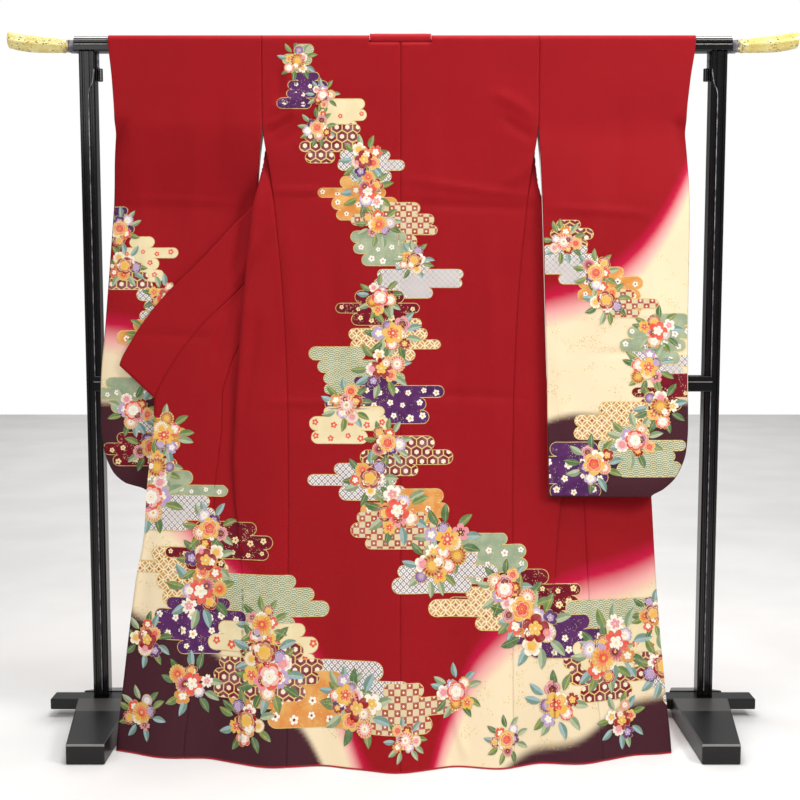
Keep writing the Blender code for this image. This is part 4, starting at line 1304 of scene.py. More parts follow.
@dataclass(frozen=True)
class PlainGround(Finish):
    """A ground of one dye with soft clouds and flecks of gold leaf."""

    colour: Colour
    cloud: Colour
    flecks: float = 0.20

    def work(self, shop: Shop) -> None:
        """The clouded dye and the flecks on it."""
        flat = shop.place("cloth")
        cloud = shop.noise(flat, 34.0)
        fleck = (shop.cells(flat, 330.0) < self.flecks) * (shop.noise(flat, 48.0, 2.0) > 0.52)
        colour = shop.mix(cloud.ramp(0.35, 0.70) * 0.6, self.colour, self.cloud)
        height = shop.crepe(flat) * 0.00005 + fleck * 0.00008
        shop.feed(shop.mix(fleck, colour, PALE_GOLD), cloud * 0.08 + 0.48 - fleck * 0.15, height,
                  Metallic=fleck * 0.4, **PAINTED)


@dataclass(frozen=True)
class Lacquer(Finish):
    """Black lacquer with faint brush marks, duller patches and edges rubbed light.

    Each of its painted highlight lines is an axis, the two places along it between which it runs, and how
    light it is. They show above a height.
    """

    gloss: float = 0.13
    colour: Colour = dyes("0D0B0C")[0]
    lines: tuple[tuple[int, float, float, float], ...] = ()
    above: float = -1.0

    def work(self, shop: Shop) -> None:
        """The lacquer, its dust and its painted highlight lines."""
        sheen, dusty, painted_highlight = dyes("1A1718 8C8478 D8D4D0")
        place = shop.place()
        worn = shop.noise(place, 9.0, 4.0)
        brush = shop.noise(shop.place(scale=(260.0, 260.0, 6.0)), 1.0, 2.0)
        dust = (shop.cells(place, 190.0) < 0.10) * (shop.noise(place, 14.0) > 0.52)
        colour = shop.mix(worn.ramp(0.4, 0.8) * 0.35, self.colour, sheen)
        colour = shop.mix(dust * 0.25, colour, dusty)
        axes = shop.axes(place)
        # Painted highlights: each line lightens a band along one axis, above a height, where an edge or face
        # catches the light.
        for axis, low, high, strength in self.lines:
            band = (axes[axis] > low) * (axes[axis] < high) * (axes[2] > self.above)
            colour = shop.mix(band * (worn * 0.5 + 0.70) * strength, colour, painted_highlight)
        shop.feed(colour, worn * 0.10 + self.gloss + dust * 0.25, brush * 0.00006 + worn * 0.0002,
                  Coat_Weight=0.15, Coat_Roughness=0.10, Specular_IOR_Level=0.30)


@dataclass(frozen=True)
class Gilding(Finish):
    """Pale chased gilding with dark marks in its hollows, greyed where it starts."""

    root: float = 0.757

    def work(self, shop: Shop) -> None:
        """Gold over its marks, grey at the root."""
        deep, bright, grey, mark = dyes("D9C36F EFE2A2 6C6272 5E4A34")
        place = shop.place()
        chased = shop.cells(shop.place(scale=(110.0, 230.0, 230.0)), 1.0)
        marks = (1 - chased.ramp(0.22, 0.34)) * shop.noise(place, 60.0, 2.0).ramp(0.44, 0.56)
        tone = shop.noise(place, 26.0)
        root = 1 - shop.axes(place)[0].size().ramp(self.root, self.root + 0.022)
        colour = shop.mix(tone.ramp(0.3, 0.7), deep, bright)
        colour = shop.mix(root * shop.noise(place, 160.0, 2.0).ramp(0.42, 0.60) * 0.9, colour, grey)
        shop.feed(shop.mix(marks * 0.85, colour, mark), marks * 0.25 + 0.34, marks * -0.0007 + tone * 0.0004,
                  Metallic=0.30 - marks * 0.25)


@dataclass(frozen=True)
class GreyPlate(Finish):
    """Dull grey plate with fine brushing."""

    def work(self, shop: Shop) -> None:
        """The brushed and tarnished grey."""
        brush = shop.noise(shop.place(scale=(900.0, 60.0, 900.0)), 1.0, 2.0)
        tarnish = shop.noise(shop.place(), 60.0)
        colour = shop.mix(tarnish.ramp(0.35, 0.65), *dyes("98949A 4C4852"))
        shop.feed(colour, brush * 0.12 + 0.42, brush * 0.00008, Metallic=0.55 - tarnish * 0.2)


@dataclass(frozen=True)
class PaleFloor(Finish):
    """A plain pale studio floor."""

    def work(self, shop: Shop) -> None:
        """Two near whites with a fine grain."""
        place = shop.place()
        tone = shop.noise(place, 2.5)
        colour = shop.mix(tone.ramp(0.3, 0.7), *dyes("EDEBE9 F4F2F0"))
        shop.feed(colour, tone * 0.08 + 0.62, shop.noise(place, 140.0, 2.0) * 0.0002)


def cut(outline: list[Point], off: Callable[[Point], float]) -> tuple[list[Point], list[Point]]:
    """Cuts a small convex outline where a measure changes sign.

    Args:
        outline: Its corners in order.
        off: The measure at a place.

    Returns:
        The part where the measure is below zero and the part where it is above. Either may be empty.
    """
    values = [off(place) for place in outline]
    if not values or max(values) <= 0:
        return outline, []
    if min(values) >= 0:
        return [], outline
    low, high = [], []
    for k, place in enumerate(outline):
        after, here, there = outline[(k + 1) % len(outline)], values[k], values[(k + 1) % len(outline)]
        (low if here <= 0 else high).append(place)
        if here * there < 0:
            t = here / (here - there)
            middle = lerp(place[0], after[0], t), lerp(place[1], after[1], t)
            low.append(middle)
            high.append(middle)
    return low, high


Patch = tuple[list[Point], float, Fill, Colour]


class Brush:
    """Draws shapes as small patches, so that they can lie on curved cloth. Metres on the flat cloth."""

    def __init__(self, patch: float = 0.0055) -> None:
        """Starts with nothing drawn."""
        self.patch = patch
        self.patches: list[Patch] = []

    def add(self, outline: list[Point], lift: float, fill: Fill, colour: Colour) -> None:
        """Adds one patch."""
        self.patches.append((outline, lift, fill, colour))

    def grid(self, rows: list[list[Point]], lift: float, fill: Fill, colour: Colour) -> None:
        """Fills the cells between rows of places."""
        for low, high in zip(rows, rows[1:]):
            for a, b, c, d in zip(low, low[1:], high[1:], high):
                self.add([a, b, c, d], lift, fill, colour)

    def capsule(self, left: float, right: float, middle: float, half: float, lift: float, fill: Fill) -> None:
        """A level band with round ends."""
        turns = [half * (1 - math.cos(t)) for t in spread(0.04, math.pi / 2, 4)]
        inner = spread(left + half, right - half, max(1, round((right - left - 2 * half) / self.patch)))
        stops = [left + t for t in turns[:-1]] + inner + [right - t for t in reversed(turns[:-1])]
        count = max(2, round(2 * half / self.patch))
        rows = []
        for share in spread(-1, 1, count):
            row = []
            for x in stops:
                reach = min(x - left, right - x, half)
                row.append((x, middle + share * math.sqrt(max(0.0, 1 - ((half - reach) / half) ** 2)) * half))
            rows.append(row)
        self.grid(rows, lift, fill, GOLD)

    def disc(self, centre: Point, radii: Sequence[float], lift: float, colour: Colour, turn: float = 0.0,
             fill: Fill = Fill.PAINT) -> None:
        """A shape round its centre, from its radius at even turns."""
        count = len(radii)
        rings = max(1, math.ceil(max(radii) / self.patch))
        turns = [turn + math.tau * k / count for k in range(count)]
        edge = [(math.cos(a) * r, math.sin(a) * r) for a, r in zip(turns, radii)]

        def place(k: int, ring: int) -> Point:
            """A place on one ring."""
            x, y = edge[k % count]
            return centre[0] + x * ring / rings, centre[1] + y * ring / rings

        for k in range(count):
            self.add([centre, place(k, 1), place(k + 1, 1)], lift, fill, colour)
            for ring in range(1, rings):
                cell = [place(k, ring), place(k, ring + 1), place(k + 1, ring + 1), place(k + 1, ring)]
                self.add(cell, lift, fill, colour)

    def blade(self, start: Point, end: Point, width: float, lift: float, colours: tuple[Colour, Colour],
              full: float = 0.55, bend: float = 0.0) -> None:
        """A petal or leaf in two tones, one on each side of its middle line.

        Args:
            start: Its foot.
            end: Its tip.
            width: Its half width.
            lift: Its height off the cloth.
            colours: The two tones.
            full: Where along it is widest.
            bend: How far its middle line bows.
        """
        dx, dz = end[0] - start[0], end[1] - start[1]
        length = math.hypot(dx, dz)
        nx, nz = -dz / length, dx / length
        power = math.log(0.5) / math.log(full)
        rows: list[list[Point]] = [[], [], []]
        for t in spread(0, 1, max(4, math.ceil(length / self.patch))):
            half = width * math.sin(math.pi * min(1.0, t**power)) ** 0.75 if 0 < t < 1 else width * 0.02
            off = bend * 4 * t * (1 - t)
            for row, share in zip(rows, (-1, 0, 1)):
                out = off + share * half
                row.append((start[0] + dx * t + nx * out, start[1] + dz * t + nz * out))
        for pair, colour in zip((rows[:2], rows[1:]), colours):
            self.grid(pair, lift, Fill.PAINT, colour)

    def ribbon(self, places: Sequence[Point], width: float, lift: float, blunt: float = 0.15) -> None:
        """A fine gold line through places. blunt is the share of its width that is left at both ends."""
        whole = chain_length(places)
        steps = max(3, round(whole / self.patch))
        line = [along(places, whole * k / steps) for k in range(steps + 1)]
        sides: list[list[Point]] = [[], []]
        for k, (x, z) in enumerate(line):
            before, after = line[max(0, k - 1)], line[min(steps, k + 1)]
            dx, dz = after[0] - before[0], after[1] - before[1]
            length = math.hypot(dx, dz)
            half = width / 2 * min(1.0, blunt + 6 * k / steps, blunt + 6 * (steps - k) / steps)
            for side, sign in zip(sides, (-1, 1)):
                side.append((x - sign * dz / length * half, z + sign * dx / length * half))
        self.grid(sides, lift, Fill.GOLD, GOLD)


class Blossom(Enum):
    """The flowers of the design. Each has its petals, the depth of their gaps and that of their notches."""

    PLUM = (5, 0.34, 0.0)
    CHERRY = (5, 0.46, 0.16)
    DAISY = (16, 0.10, 0.0)
    PEONY = (7, 0.20, 0.10)
    CAMELLIA = (5, 0.26, 0.0)


@dataclass
class Garden:
    """Flowers, leaves and mist clouds, drawn with one brush. Every shape is worked out from a few sizes."""

    brush: Brush
    cloud_lift: float = 0.00030
    cloud_step: float = 0.00010
    edge_lift: float = 0.00003
    edge_width: float = 0.0014
    bloom_lift: float = 0.00080
    step: float = 0.00007
    vein: float = 0.0006
    golden_angle: float = 2.39996
    notch_width: float = 0.07

    def lobes(self, radius: float, count: int, depth: float, notch: float = 0.0,
              points: int = 8) -> list[float]:
        """Radii of a flower of rounded petals.

        Args:
            radius: The flower's radius.
            count: How many petals.
            depth: How deep the gaps between the petals are, as a share.
            notch: How deep each petal's tip is notched, as a share.
            points: Places on each petal.

        Returns:
            The radius at even turns.
        """
        radii = []
        for k in range(count * points):
            phase = (k / points) % 1.0 - 0.5
            edge = 1 - depth * (2 * abs(phase)) ** 3
            radii.append(radius * (edge - notch * math.exp(-((phase / self.notch_width) ** 2))))
        return radii

    def stamens(self, centre: Point, reach: float, count: int, lift: float, colour: Colour) -> None:
        """A ring of small dots with a dot in the middle."""
        for k in range(count):
            self.brush.disc(out_from(centre, math.tau * k / count, reach), [reach * 0.16] * 6, lift, colour)
        self.brush.disc(centre, [reach * 0.34] * 8, lift, colour)

    def bloom(self, kind: Blossom, centre: Point, radius: float, colours: tuple[Colour, Colour], turn: float,
              lift: float) -> None:
        """One flower, edged in gold.

        Args:
            kind: Which flower.
            centre: Its middle.
            radius: Its radius.
            colours: Its outer and inner colour.
            turn: How far it is turned.
            lift: Its height off the cloth.
        """
        brush, step, (outer, inner) = self.brush, self.step, colours
        petals, depth, notch = kind.value
        fineness = 4 if kind is Blossom.DAISY else 8
        rim = self.lobes(radius * (1 + 0.0009 / radius), petals, depth, notch, fineness)
        brush.disc(centre, rim, lift, GOLD, turn, Fill.GOLD)
        if kind in (Blossom.PLUM, Blossom.CHERRY):
            brush.disc(centre, self.lobes(radius, petals, depth, notch), lift + step, outer, turn)
            brush.disc(centre, self.lobes(radius * 0.52, petals, 0.4), lift + 2 * step, inner, turn)
            self.stamens(centre, radius * 0.36, 8, lift + 3 * step, PALE_GOLD)
        elif kind is Blossom.DAISY:
            for ring, (reach, count) in enumerate(((1.0, 16), (0.72, 13), (0.44, 9))):
                tone = blend(outer, inner, 0.5 * ring)
                tones = (tone, blend(tone, inner, 0.45))
                width = radius * reach * math.pi / count * 0.86
                for k in range(count):
                    tip = out_from(centre, turn + math.tau * (k + 0.5 * ring) / count, radius * reach)
                    brush.blade(centre, tip, width, lift + (1 + ring) * step, tones, 0.72)
            brush.disc(centre, [radius * 0.15] * 10, lift + 4 * step, SAFFRON)
        else:
            for ring, reach in enumerate((1.0, 0.76, 0.52)):
                swing, count = turn + ring * 0.55, petals - ring % 2
                if ring:
                    ridge = self.lobes(radius * reach + 0.0006, count, depth, notch * 0.6)
                    brush.disc(centre, ridge, lift + (2 * ring) * step * 0.6, IVORY, swing)
                shape = self.lobes(radius * reach, count, depth, notch * 0.6)
                tone = blend(outer, inner, ring * 0.5)
                brush.disc(centre, shape, lift + (2 * ring + 1) * step * 0.6, tone, swing)
            self.stamens(centre, radius * 0.22, 9, lift + 4.4 * step, SAFFRON)

    def leaf(self, foot: Point, angle: float, length: float, lift: float, tone: Colour) -> None:
        """A leaf with a gold vein."""
        tip = out_from(foot, angle, length)
        self.brush.blade(foot, tip, length * 0.21, lift, (tone, blend(tone, LEAF, 0.6)), 0.45, length * 0.06)
        self.brush.ribbon([foot, tip], self.vein, lift + self.step * 0.7)

    def spray(self, centre: Point, size: float, seed: int) -> None:
        """A cluster of flowers with leaves round it, laid out by the golden angle.

        Args:
            centre: Its middle.
            size: Its radius.
            seed: Which of its many forms.
        """
        dice, kinds = random.Random(seed), tuple(Blossom)
        pairs = [
            (CORAL, IVORY), (IVORY, ROSE), (ROSE, ENJI), (SAFFRON, CORAL), (LILAC, IVORY), (IVORY, SAFFRON),
            (RED, SAFFRON), (VIOLET, LILAC), (ORANGE, IVORY),
        ]
        for k in range(9):
            angle = math.tau * (k + dice.random() * 0.6) / 9
            tone = (MOSS, SAGE, LEAF, SKY)[dice.randrange(4)]
            swing = angle + 0.5 * (dice.random() - 0.5)
            self.leaf(out_from(centre, angle, size * 0.55), swing, size * 0.62, self.bloom_lift, tone)
        for k in range(7):
            place = out_from(centre, seed + k * self.golden_angle, size * 0.64 * math.sqrt(k / 6.5))
            radius = size * (0.42 if k == 0 else lerp(0.22, 0.32, dice.random()))
            height = self.bloom_lift + (2 + 5.4 * (6 - k) / 6) * self.step
            colours = pairs[(seed * 3 + k * 2) % len(pairs)]
            self.bloom(kinds[(k + seed) % len(kinds)], place, radius, colours, dice.random() * 6, height)

    def cloud(self, middle: float, top: float, size: Point, lift: float, fill: Fill,
              dice: random.Random) -> list[Bank]:
        """One mist cloud: level banks of uneven length that touch, with round ends, in one gold line.

        Args:
            middle: Its middle across.
            top: The height of its upper edge.
            size: The half length and half height of a bank.
            lift: Its height off the cloth.
            fill: What it is filled with.
            dice: The source of its unevenness.

        Returns:
            Each bank's left and right end, height and half height.
        """
        long, high = size
        count = 3 + dice.randrange(2)
        banks: list[Bank] = []
        for n in range(count):
            reach = long * lerp(*((0.40, 0.78) if n in (0, count - 1) else (0.82, 1.15)), dice.random())
            off = long * lerp(-0.34, 0.34, dice.random())
            half = high * lerp(0.78, 1.18, dice.random())
            banks.append((middle + off - reach, middle + off + reach, top - half, half))
            top -= 2 * half
        for n, (left, right, z, half) in enumerate(banks):
            self.brush.capsule(left, right, z, half, lift, fill)
            lines = []
            for end, sign in ((left + half, -1), (right - half, 1)):
                turns = spread(-math.pi / 2, math.pi / 2, 8)
                lines.append([(end + sign * half * math.cos(a), z + half * math.sin(a)) for a in turns])
            for edge, other in ((z + half, n - 1), (z - half, n + 1)):
                a, b = left + half, right - half
                if not 0 <= other < count:
                    lines.append([(a, edge), (b, edge)])
                    continue
                start, end = banks[other][0] + banks[other][3], banks[other][1] - banks[other][3]
                spans = ((a, min(b, start)), (max(a, end), b))
                lines += [[(c, edge), (d, edge)] for c, d in spans if d - c > 0.002]
            for line in lines:
                self.brush.ribbon(line, self.edge_width, lift + self.edge_lift, 1.0)
        return banks

    def buds(self, banks: Sequence[Bank], lift: float, colours: tuple[Colour, Colour],
             dice: random.Random) -> None:
        """Small five-petalled flowers strewn over the inner banks of a plain cloud."""
        for left, right, z, half in banks[1:]:
            count = max(2, round((right - left) / 0.034))
            for n in range(count):
                share = (n + lerp(0.3, 0.7, dice.random())) / count
                place = lerp(left, right, share), z + half * 0.2 * (-1) ** n
                radius = half * lerp(0.42, 0.60, dice.random())
                petals = self.lobes(radius, 5, 0.36, 0.0, 5)
                self.brush.disc(place, petals, lift, colours[0], dice.random() * 3)
                self.brush.disc(place, [radius * 0.34] * 6, lift + self.edge_lift, colours[1])

    def flow(self, path: Sequence[Point], clouds: int, reach: Point, half: Point, seed: int) -> None:
        """Mist clouds strewn along a path to its left and right in turn, each filled with a small repeat.

        Args:
            path: The path's places.
            clouds: How many clouds.
            reach: The half length of a bank where the path starts and ends.
            half: The half height of a bank where the path starts and ends.
            seed: Which of many arrangements.
        """
        dice = random.Random(seed)
        fills = [Fill.KANOKO, Fill.ENJI, Fill.RINGS, Fill.WAVES, Fill.VIOLET, Fill.CREAM, Fill.HEXAGONS,
                 Fill.KANOKO, Fill.ORANGE, Fill.CHECKS, Fill.STEM]
        strewn = {
            Fill.ENJI: (PALE_GOLD, CORAL), Fill.VIOLET: (IVORY, SAFFRON), Fill.CREAM: (CORAL, PALE_GOLD),
            Fill.ORANGE: (IVORY, RED), Fill.STEM: (IVORY, ROSE),
        }
        for k, t, (x, z) in stops_along(path, clouds, 0.5):
            size = lerp(*reach, t) * min(1.0, 0.55 + 4 * t, 0.55 + 4 * (1 - t)), lerp(*half, t)
            x += (-1) ** k * size[0] * lerp(0.20, 0.62, dice.random())
            lift = self.cloud_lift + (k % 5) * self.cloud_step
            fill = fills[(k + seed) % len(fills)]
            banks = self.cloud(x, z + 3.5 * size[1], size, lift, fill, dice)
            if fill in strewn:
                self.buds(banks, lift + self.edge_lift, strewn[fill], dice)


def stops_along(path: Sequence[Point], count: int, start: float) -> list[tuple[int, float, Point]]:
    """Even stops along a smooth path: each one's number, its share of the length and its place."""
    line = flowing(path)
    whole = chain_length(line)
    shares = [(k + start) / count for k in range(count)]
    return [(k, t, along(line, whole * t)) for k, t in enumerate(shares)]


class Half:
    """One half of the body laid flat: from the centre back over the side seam to the front's edge."""

    lap = 0.003
    back_top = 1.558
    front_top = 1.25
    rim = 0.004

    def __init__(self, drape: Drape, side: Side) -> None:
        """Works out where its seams run."""
        self.side, self.gap, self.over = side, drape.seam_gap, drape.over_height
        self.seam = Line(lambda z: BACK.at(z, "side"))
        self.fold = Line(lambda z: FRONT[side].at(z, "fold"))
        self.edge = Line(lambda z: FRONT[side].at(z, "edge"))
        self.whole = Line(lambda z: drape.whole_front(side, z))
        self.join = Line(lambda z: drape.whole_front(side, z) - drape.okumi_width(side, z))

    def lay(self, outline: list[Point]) -> list[Part]:
        """The parts of an outline by the cut piece on which they lie.

        Args:
            outline: Places by signed distance from the centre back, and height.

        Returns:
            Each part's piece, its places as (across, down) and its places in the drawing.
        """
        sign, body, parts = self.side.value, f"body_{self.side.label}", []
        if max(sign * p[0] for p in outline) <= 0:
            return parts
        keep = outline
        for off in (lambda p: -sign * p[0], lambda p: self.rim - p[1], lambda p: p[1] - self.back_top):
            keep, _ = cut(keep, off)
        back, front = cut(keep, lambda p: sign * p[0] - self.seam.at(p[1]))
        across = [max(0.0, self.seam.at(z) - self.gap / 2 - sign * w) for w, z in back]
        parts.append((body, [(a, p[1]) for a, p in zip(across, back)], back))
        front, _ = cut(front, lambda p: sign * p[0] - self.edge.at(p[1]) + self.gap)
        front, _ = cut(front, lambda p: p[1] - self.front_top)
        first, _ = cut(front, lambda p: sign * p[0] - self.fold.at(p[1]) - self.lap)
        _, last = cut(front, lambda p: sign * p[0] - self.fold.at(p[1]) + self.lap)
        parts.append((body, [(sign * w - self.seam.at(z), self.over - z) for w, z in first], first))
        near, far = cut(last, lambda p: self.from_seam(p) - self.join.at(p[1]))
        parts.append((body, [(self.from_seam(p), self.over - p[1]) for p in near], near))
        parts.append((f"okumi_{self.side.label}", [(self.from_seam(p), p[1]) for p in far], far))
        return parts

    def from_seam(self, place: Point) -> float:
        """Distance along the front from the side seam to a place past the fold, with the hidden cloth."""
        w, z = place
        return self.whole.at(z) - self.edge.at(z) + self.side.value * w


class Tube:
    """One wall of a sleeve laid flat, outward from its inner edge."""

    rim = 0.0015
    bottom = 0.552

    def __init__(self, drape: Drape, side: Side, far: bool) -> None:
        """Works out its width along the height."""
        self.node, self.far, self.over = f"sleeve_{side.label}", far, drape.over_height
        table = SLEEVE[side]
        self.width = Line(lambda z: table.at(z, "outer") - table.at(z, "inner"))

    def lay(self, outline: list[Point]) -> list[Part]:
        """The part of an outline that lies on this wall."""
        keep = outline
        for off in (
            lambda p: self.rim - p[0],
            lambda p: p[0] - self.width.at(p[1]) + self.rim,
            lambda p: self.bottom - p[1],
        ):
            keep, _ = cut(keep, off)
        return [(self.node, [(s, self.over - z if self.far else z) for s, z in keep], keep)]


@dataclass
class Decoration:
    """The painted and gilded work on each cut piece, made from the piece's own points and lifted off them."""

    weaves: dict[str, Weave]
    finishes: dict[Fill, bpy.types.Material]
    wall: float = 0.00065
    laid: dict[str, list[tuple]] = field(default_factory=dict)

    def lay(self, brush: Brush, ground: Half | Tube) -> None:
        """Lays what a brush has drawn on its ground."""
        for outline, lift, fill, colour in brush.patches:
            for node, places, drawn in ground.lay(outline):
                if len(places) > 2:
                    self.laid.setdefault(node, []).append((places, drawn, lift, fill, colour))

    def outward(self, node: str) -> float:
        """Which way the outer face lies from the weave's own normals."""
        value = Side.of(node).value
        return -value if node.startswith("body") else value

    def build(self, node: str) -> bpy.types.Object:
        """Makes the work on one cut piece as one mesh.

        Args:
            node: The cut piece's name.

        Returns:
            The mesh's object.
        """
        index: dict[tuple[int, int, int], int] = {}
        places, lifts, faces = [], [], []
        order = sorted({entry[3] for entry in self.laid[node]}, key=lambda fill: fill.value)
        for outline, drawn, lift, fill, colour in self.laid[node]:
            face, marks = [], []
            for place, mark in zip(outline, drawn):
                key = round(place[0] * 2e5), round(place[1] * 2e5), round(lift * 1e6)
                if key not in index:
                    index[key] = len(places)
                    places.append(place)
                    lifts.append(self.wall + lift)
                if index[key] not in face:
                    face.append(index[key])
                    marks.append(mark)
            if len(face) > 2:
                faces.append((face, marks, colour, order.index(fill)))
        points, outward = self.weaves[node].lifted(places, lifts, self.outward(node))
        corners, uvs, colours = [], [], []
        for face, marks, colour, _ in faces:
            turned = np.cross(points[face[1]] - points[face[0]], points[face[2]] - points[face[0]])
            if float(np.dot(turned, outward[face[0]])) < 0:
                face, marks = face[::-1], marks[::-1]
            corners.append(face)
            uvs += marks
            colours += [colour] * len(face)
        piece = new_piece(f"{node}_painting", [tuple(p) for p in points], corners)
        for fill in order:
            piece.data.materials.append(self.finishes[fill])
        piece.data.polygons.foreach_set("material_index", [face[3] for face in faces])
        lay_out(piece.data, uvs)
        colour_in(piece.data, "dye", "CORNER", colours)
        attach(piece, "root")
        log.info("%s: %d patches", piece.name, len(corners))
        return piece


@dataclass
class Composition:
    """Where the clouds and flowers lie. Places are from the centre back, or from a sleeve's inner edge.

    Each strewn spray is its place and its size.
    """

    main: Rows = numbers("""
        -.245 1.55, -.19 1.43, -.105 1.29, -.02 1.13, -.01 .98, -.06 .83, -.08 .69, -.02 .55, .1 .42,
        .26 .31, .43 .225, .62 .165
    """)
    low_left: Rows = numbers("""
        -.59 .7, -.545 .59, -.47 .47, -.4 .35, -.31 .235, -.19 .15, -.04 .1
    """)
    sleeve_right: Rows = numbers("""
        .02 1.15, .085 1.06, .175 .97, .245 .87, .245 .76, .18 .66, .08 .6
    """)
    sleeve_left: Rows = numbers("""
        .32 1.19, .29 1.08, .215 .97, .205 .85, .255 .74, .215 .64, .1 .59
    """)
    strewn: Rows = numbers("""
        -.56 .235 .052, -.455 .15 .06, -.565 .085 .05, -.33 .085 .056, .12 .145 .05, .335 .115 .06,
        .48 .075 .05, .01 .06 .04, .225 .055 .042, .56 .29 .046
    """)

    def body(self) -> Brush:
        """The work on the back and both fronts."""
        garden = Garden(Brush())
        garden.flow(self.main, 27, (0.062, 0.150), (0.0105, 0.0165), 3)
        garden.flow(self.low_left, 13, (0.085, 0.150), (0.0130, 0.0165), 8)
        for k, t, (x, z) in stops_along(self.main, 22, 0.4):
            off = (0.030 + 0.035 * t) * math.sin(2.4 * k)
            garden.spray((x + off, z), 0.040 + 0.030 * t + 0.008 * math.sin(5.0 * k), k + 2)
        for k, _, (x, z) in stops_along(self.low_left, 11, 0.3):
            garden.spray((x + 0.055 * math.sin(2.1 * k + 1), z), 0.060 + 0.010 * math.sin(4.0 * k), k + 31)
        for k, (x, z, size) in enumerate(self.strewn):
            garden.spray((x, z), size, k + 50)
        return garden.brush

    def sleeve(self, side: Side, far: bool) -> Brush:
        """The work on one wall of a sleeve."""
        garden = Garden(Brush())
        path = self.sleeve_right if side is Side.RIGHT else self.sleeve_left
        seed = 5 + side.value + 3 * far
        garden.flow(path, 10, (0.060, 0.100), (0.0115, 0.0150), seed)
        for k, t, (x, z) in stops_along(path, 8, 0.5):
            garden.spray((x + 0.030 * math.sin(2.6 * k), z), 0.044 + 0.014 * t, seed * 7 + k)
        return garden.brush


@dataclass
class Stand:
    """The lacquered stand. Its solids keep their shapes, but for the gilt bar ends, which are modelled anew.

    horn holds rings by their reach past the grey collar, height and radius. ogee holds the light inlay's
    places on a post's front by their distance towards the stand's middle, and height.
    """

    shift: float
    horn: Rows = numbers("""
        .008 1.5562 .0146, .01 1.5562 .0158, .013 1.5563 .0162, .016 1.5564 .0158, .0185 1.5565 .0152,
        .03 1.557 .0162, .045 1.558 .017, .07 1.5595 .0183, .095 1.562 .019, .118 1.5655 .0188,
        .13 1.568 .0182, .1345 1.569 .0182, .136 1.5694 .0176
    """)
    horn_foot: float = 1.5560
    horn_start: float = 0.0143
    hollow: float = 0.0130
    hollow_depth: float = 0.0060
    ogee: Rows = numbers("""
        .003 1.441, .004 1.45, .006 1.458, .01 1.465, .0125 1.472, .014 1.481, .0158 1.4926, .0168 1.501
    """)
    inlay_foot: float = 0.0620
    inlay_width: float = 0.0018
    inlay_thick: float = 0.0007
    post_middle: float = 0.7145
    post_half: float = 0.0180
    toe_height: float = 0.0395

    def dress(self, name: str, finish: bpy.types.Material) -> None:
        """Gives a solid its finish."""
        solid = bpy.data.objects[name]
        if not solid.material_slots:
            solid.data.materials.append(finish)
        for slot in solid.material_slots:
            slot.material = finish
        log.info("%s: %s", name, finish.name)

    def begin(self, name: str) -> bpy.types.Object:
        """Names the primitive that was just added, and lays its place into its mesh."""
        piece = bpy.context.active_object
        piece.name = piece.data.name = name
        bpy.ops.object.transform_apply(location=True, rotation=True, scale=True)
        return piece

    def extrude(self, x: float, z: float) -> None:
        """Extrudes what is selected along X and Z."""
        bpy.ops.mesh.extrude_region_move(TRANSFORM_OT_translate={"value": (x, 0.0, z)})

    def model_horn(self, side: Side, finish: bpy.types.Material) -> None:
        """Extrudes a round ring along the upturned horn, then hollows its end."""
        low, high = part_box(f"bar_end_{side.label}")
        sign = side.value
        start = sign * min(abs(low[0]), abs(high[0]))
        bpy.ops.object.select_all(action="DESELECT")
        bpy.ops.mesh.primitive_circle_add(
            vertices=24, radius=self.horn_start, fill_type="NGON",
            location=(start, self.shift, self.horn_foot), rotation=(0.0, math.pi / 2, 0.0),
        )
        piece = self.begin(f"gilt_horn_{side.label}")
        bpy.ops.object.mode_set(mode="EDIT")
        bpy.ops.mesh.select_all(action="SELECT")
        reach, height, radius = 0.0, self.horn_foot, self.horn_start
        tip, tip_height, _ = self.horn[-1]
        inside = (tip, tip_height, self.hollow), (tip - self.hollow_depth, tip_height, self.hollow * 0.9)
        for next_reach, next_height, next_radius in (*self.horn, *inside):
            self.extrude(sign * (next_reach - reach), next_height - height)
            bpy.ops.transform.resize(
                value=(1.0, next_radius / radius, next_radius / radius),
                center_override=(start + sign * next_reach, self.shift, next_height),
            )
            reach, height, radius = next_reach, next_height, next_radius
        bpy.ops.mesh.select_all(action="SELECT")
        bpy.ops.mesh.normals_make_consistent(inside=False)
        bpy.ops.object.mode_set(mode="OBJECT")
        bpy.ops.object.shade_smooth_by_angle(angle=math.radians(50))
        self.finish(piece, finish, "gilding")
        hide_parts(f"bar_end_{side.label}")

    def model_inlay(self, side: Side, finish: bpy.types.Material) -> None:
        """Extrudes a light strip up a post's front, then along the ogee."""
        inward, foot = -side.value, self.inlay_foot
        middle = side.value * self.post_middle
        x, z = self.ogee[0][0], foot
        bpy.ops.object.select_all(action="DESELECT")
        bpy.ops.mesh.primitive_plane_add(
            size=self.inlay_width, location=(middle + inward * x, self.shift - self.post_half, foot),
            rotation=(math.pi / 2, 0.0, 0.0),
        )
        piece = self.begin(f"post_inlay_{side.label}")
        for edge in piece.data.edges:
            edge.select = all(piece.data.vertices[v].co.z > foot for v in edge.vertices)
        for vertex in piece.data.vertices:
            vertex.select = vertex.co.z > foot
        for face in piece.data.polygons:
            face.select = False
        bpy.ops.object.mode_set(mode="EDIT")
        for next_x, next_z in self.ogee:
            self.extrude(inward * (next_x - x), next_z - z)
            x, z = next_x, next_z
        bpy.ops.object.mode_set(mode="OBJECT")
        wall = piece.modifiers.new("wall", "SOLIDIFY")
        wall.thickness = self.inlay_thick
        wall.offset = 1.0
        bpy.ops.object.modifier_apply(modifier=wall.name)
        self.finish(piece, finish, "grey_metal")

    def finish(self, piece: bpy.types.Object, finish: bpy.types.Material, slot: str) -> None:
        """Dresses a new piece and lets it ride on the stand."""
        piece.data.materials.append(finish)
        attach(piece, "root")
        log.info("%s: %d faces", piece.name, len(piece.data.polygons))

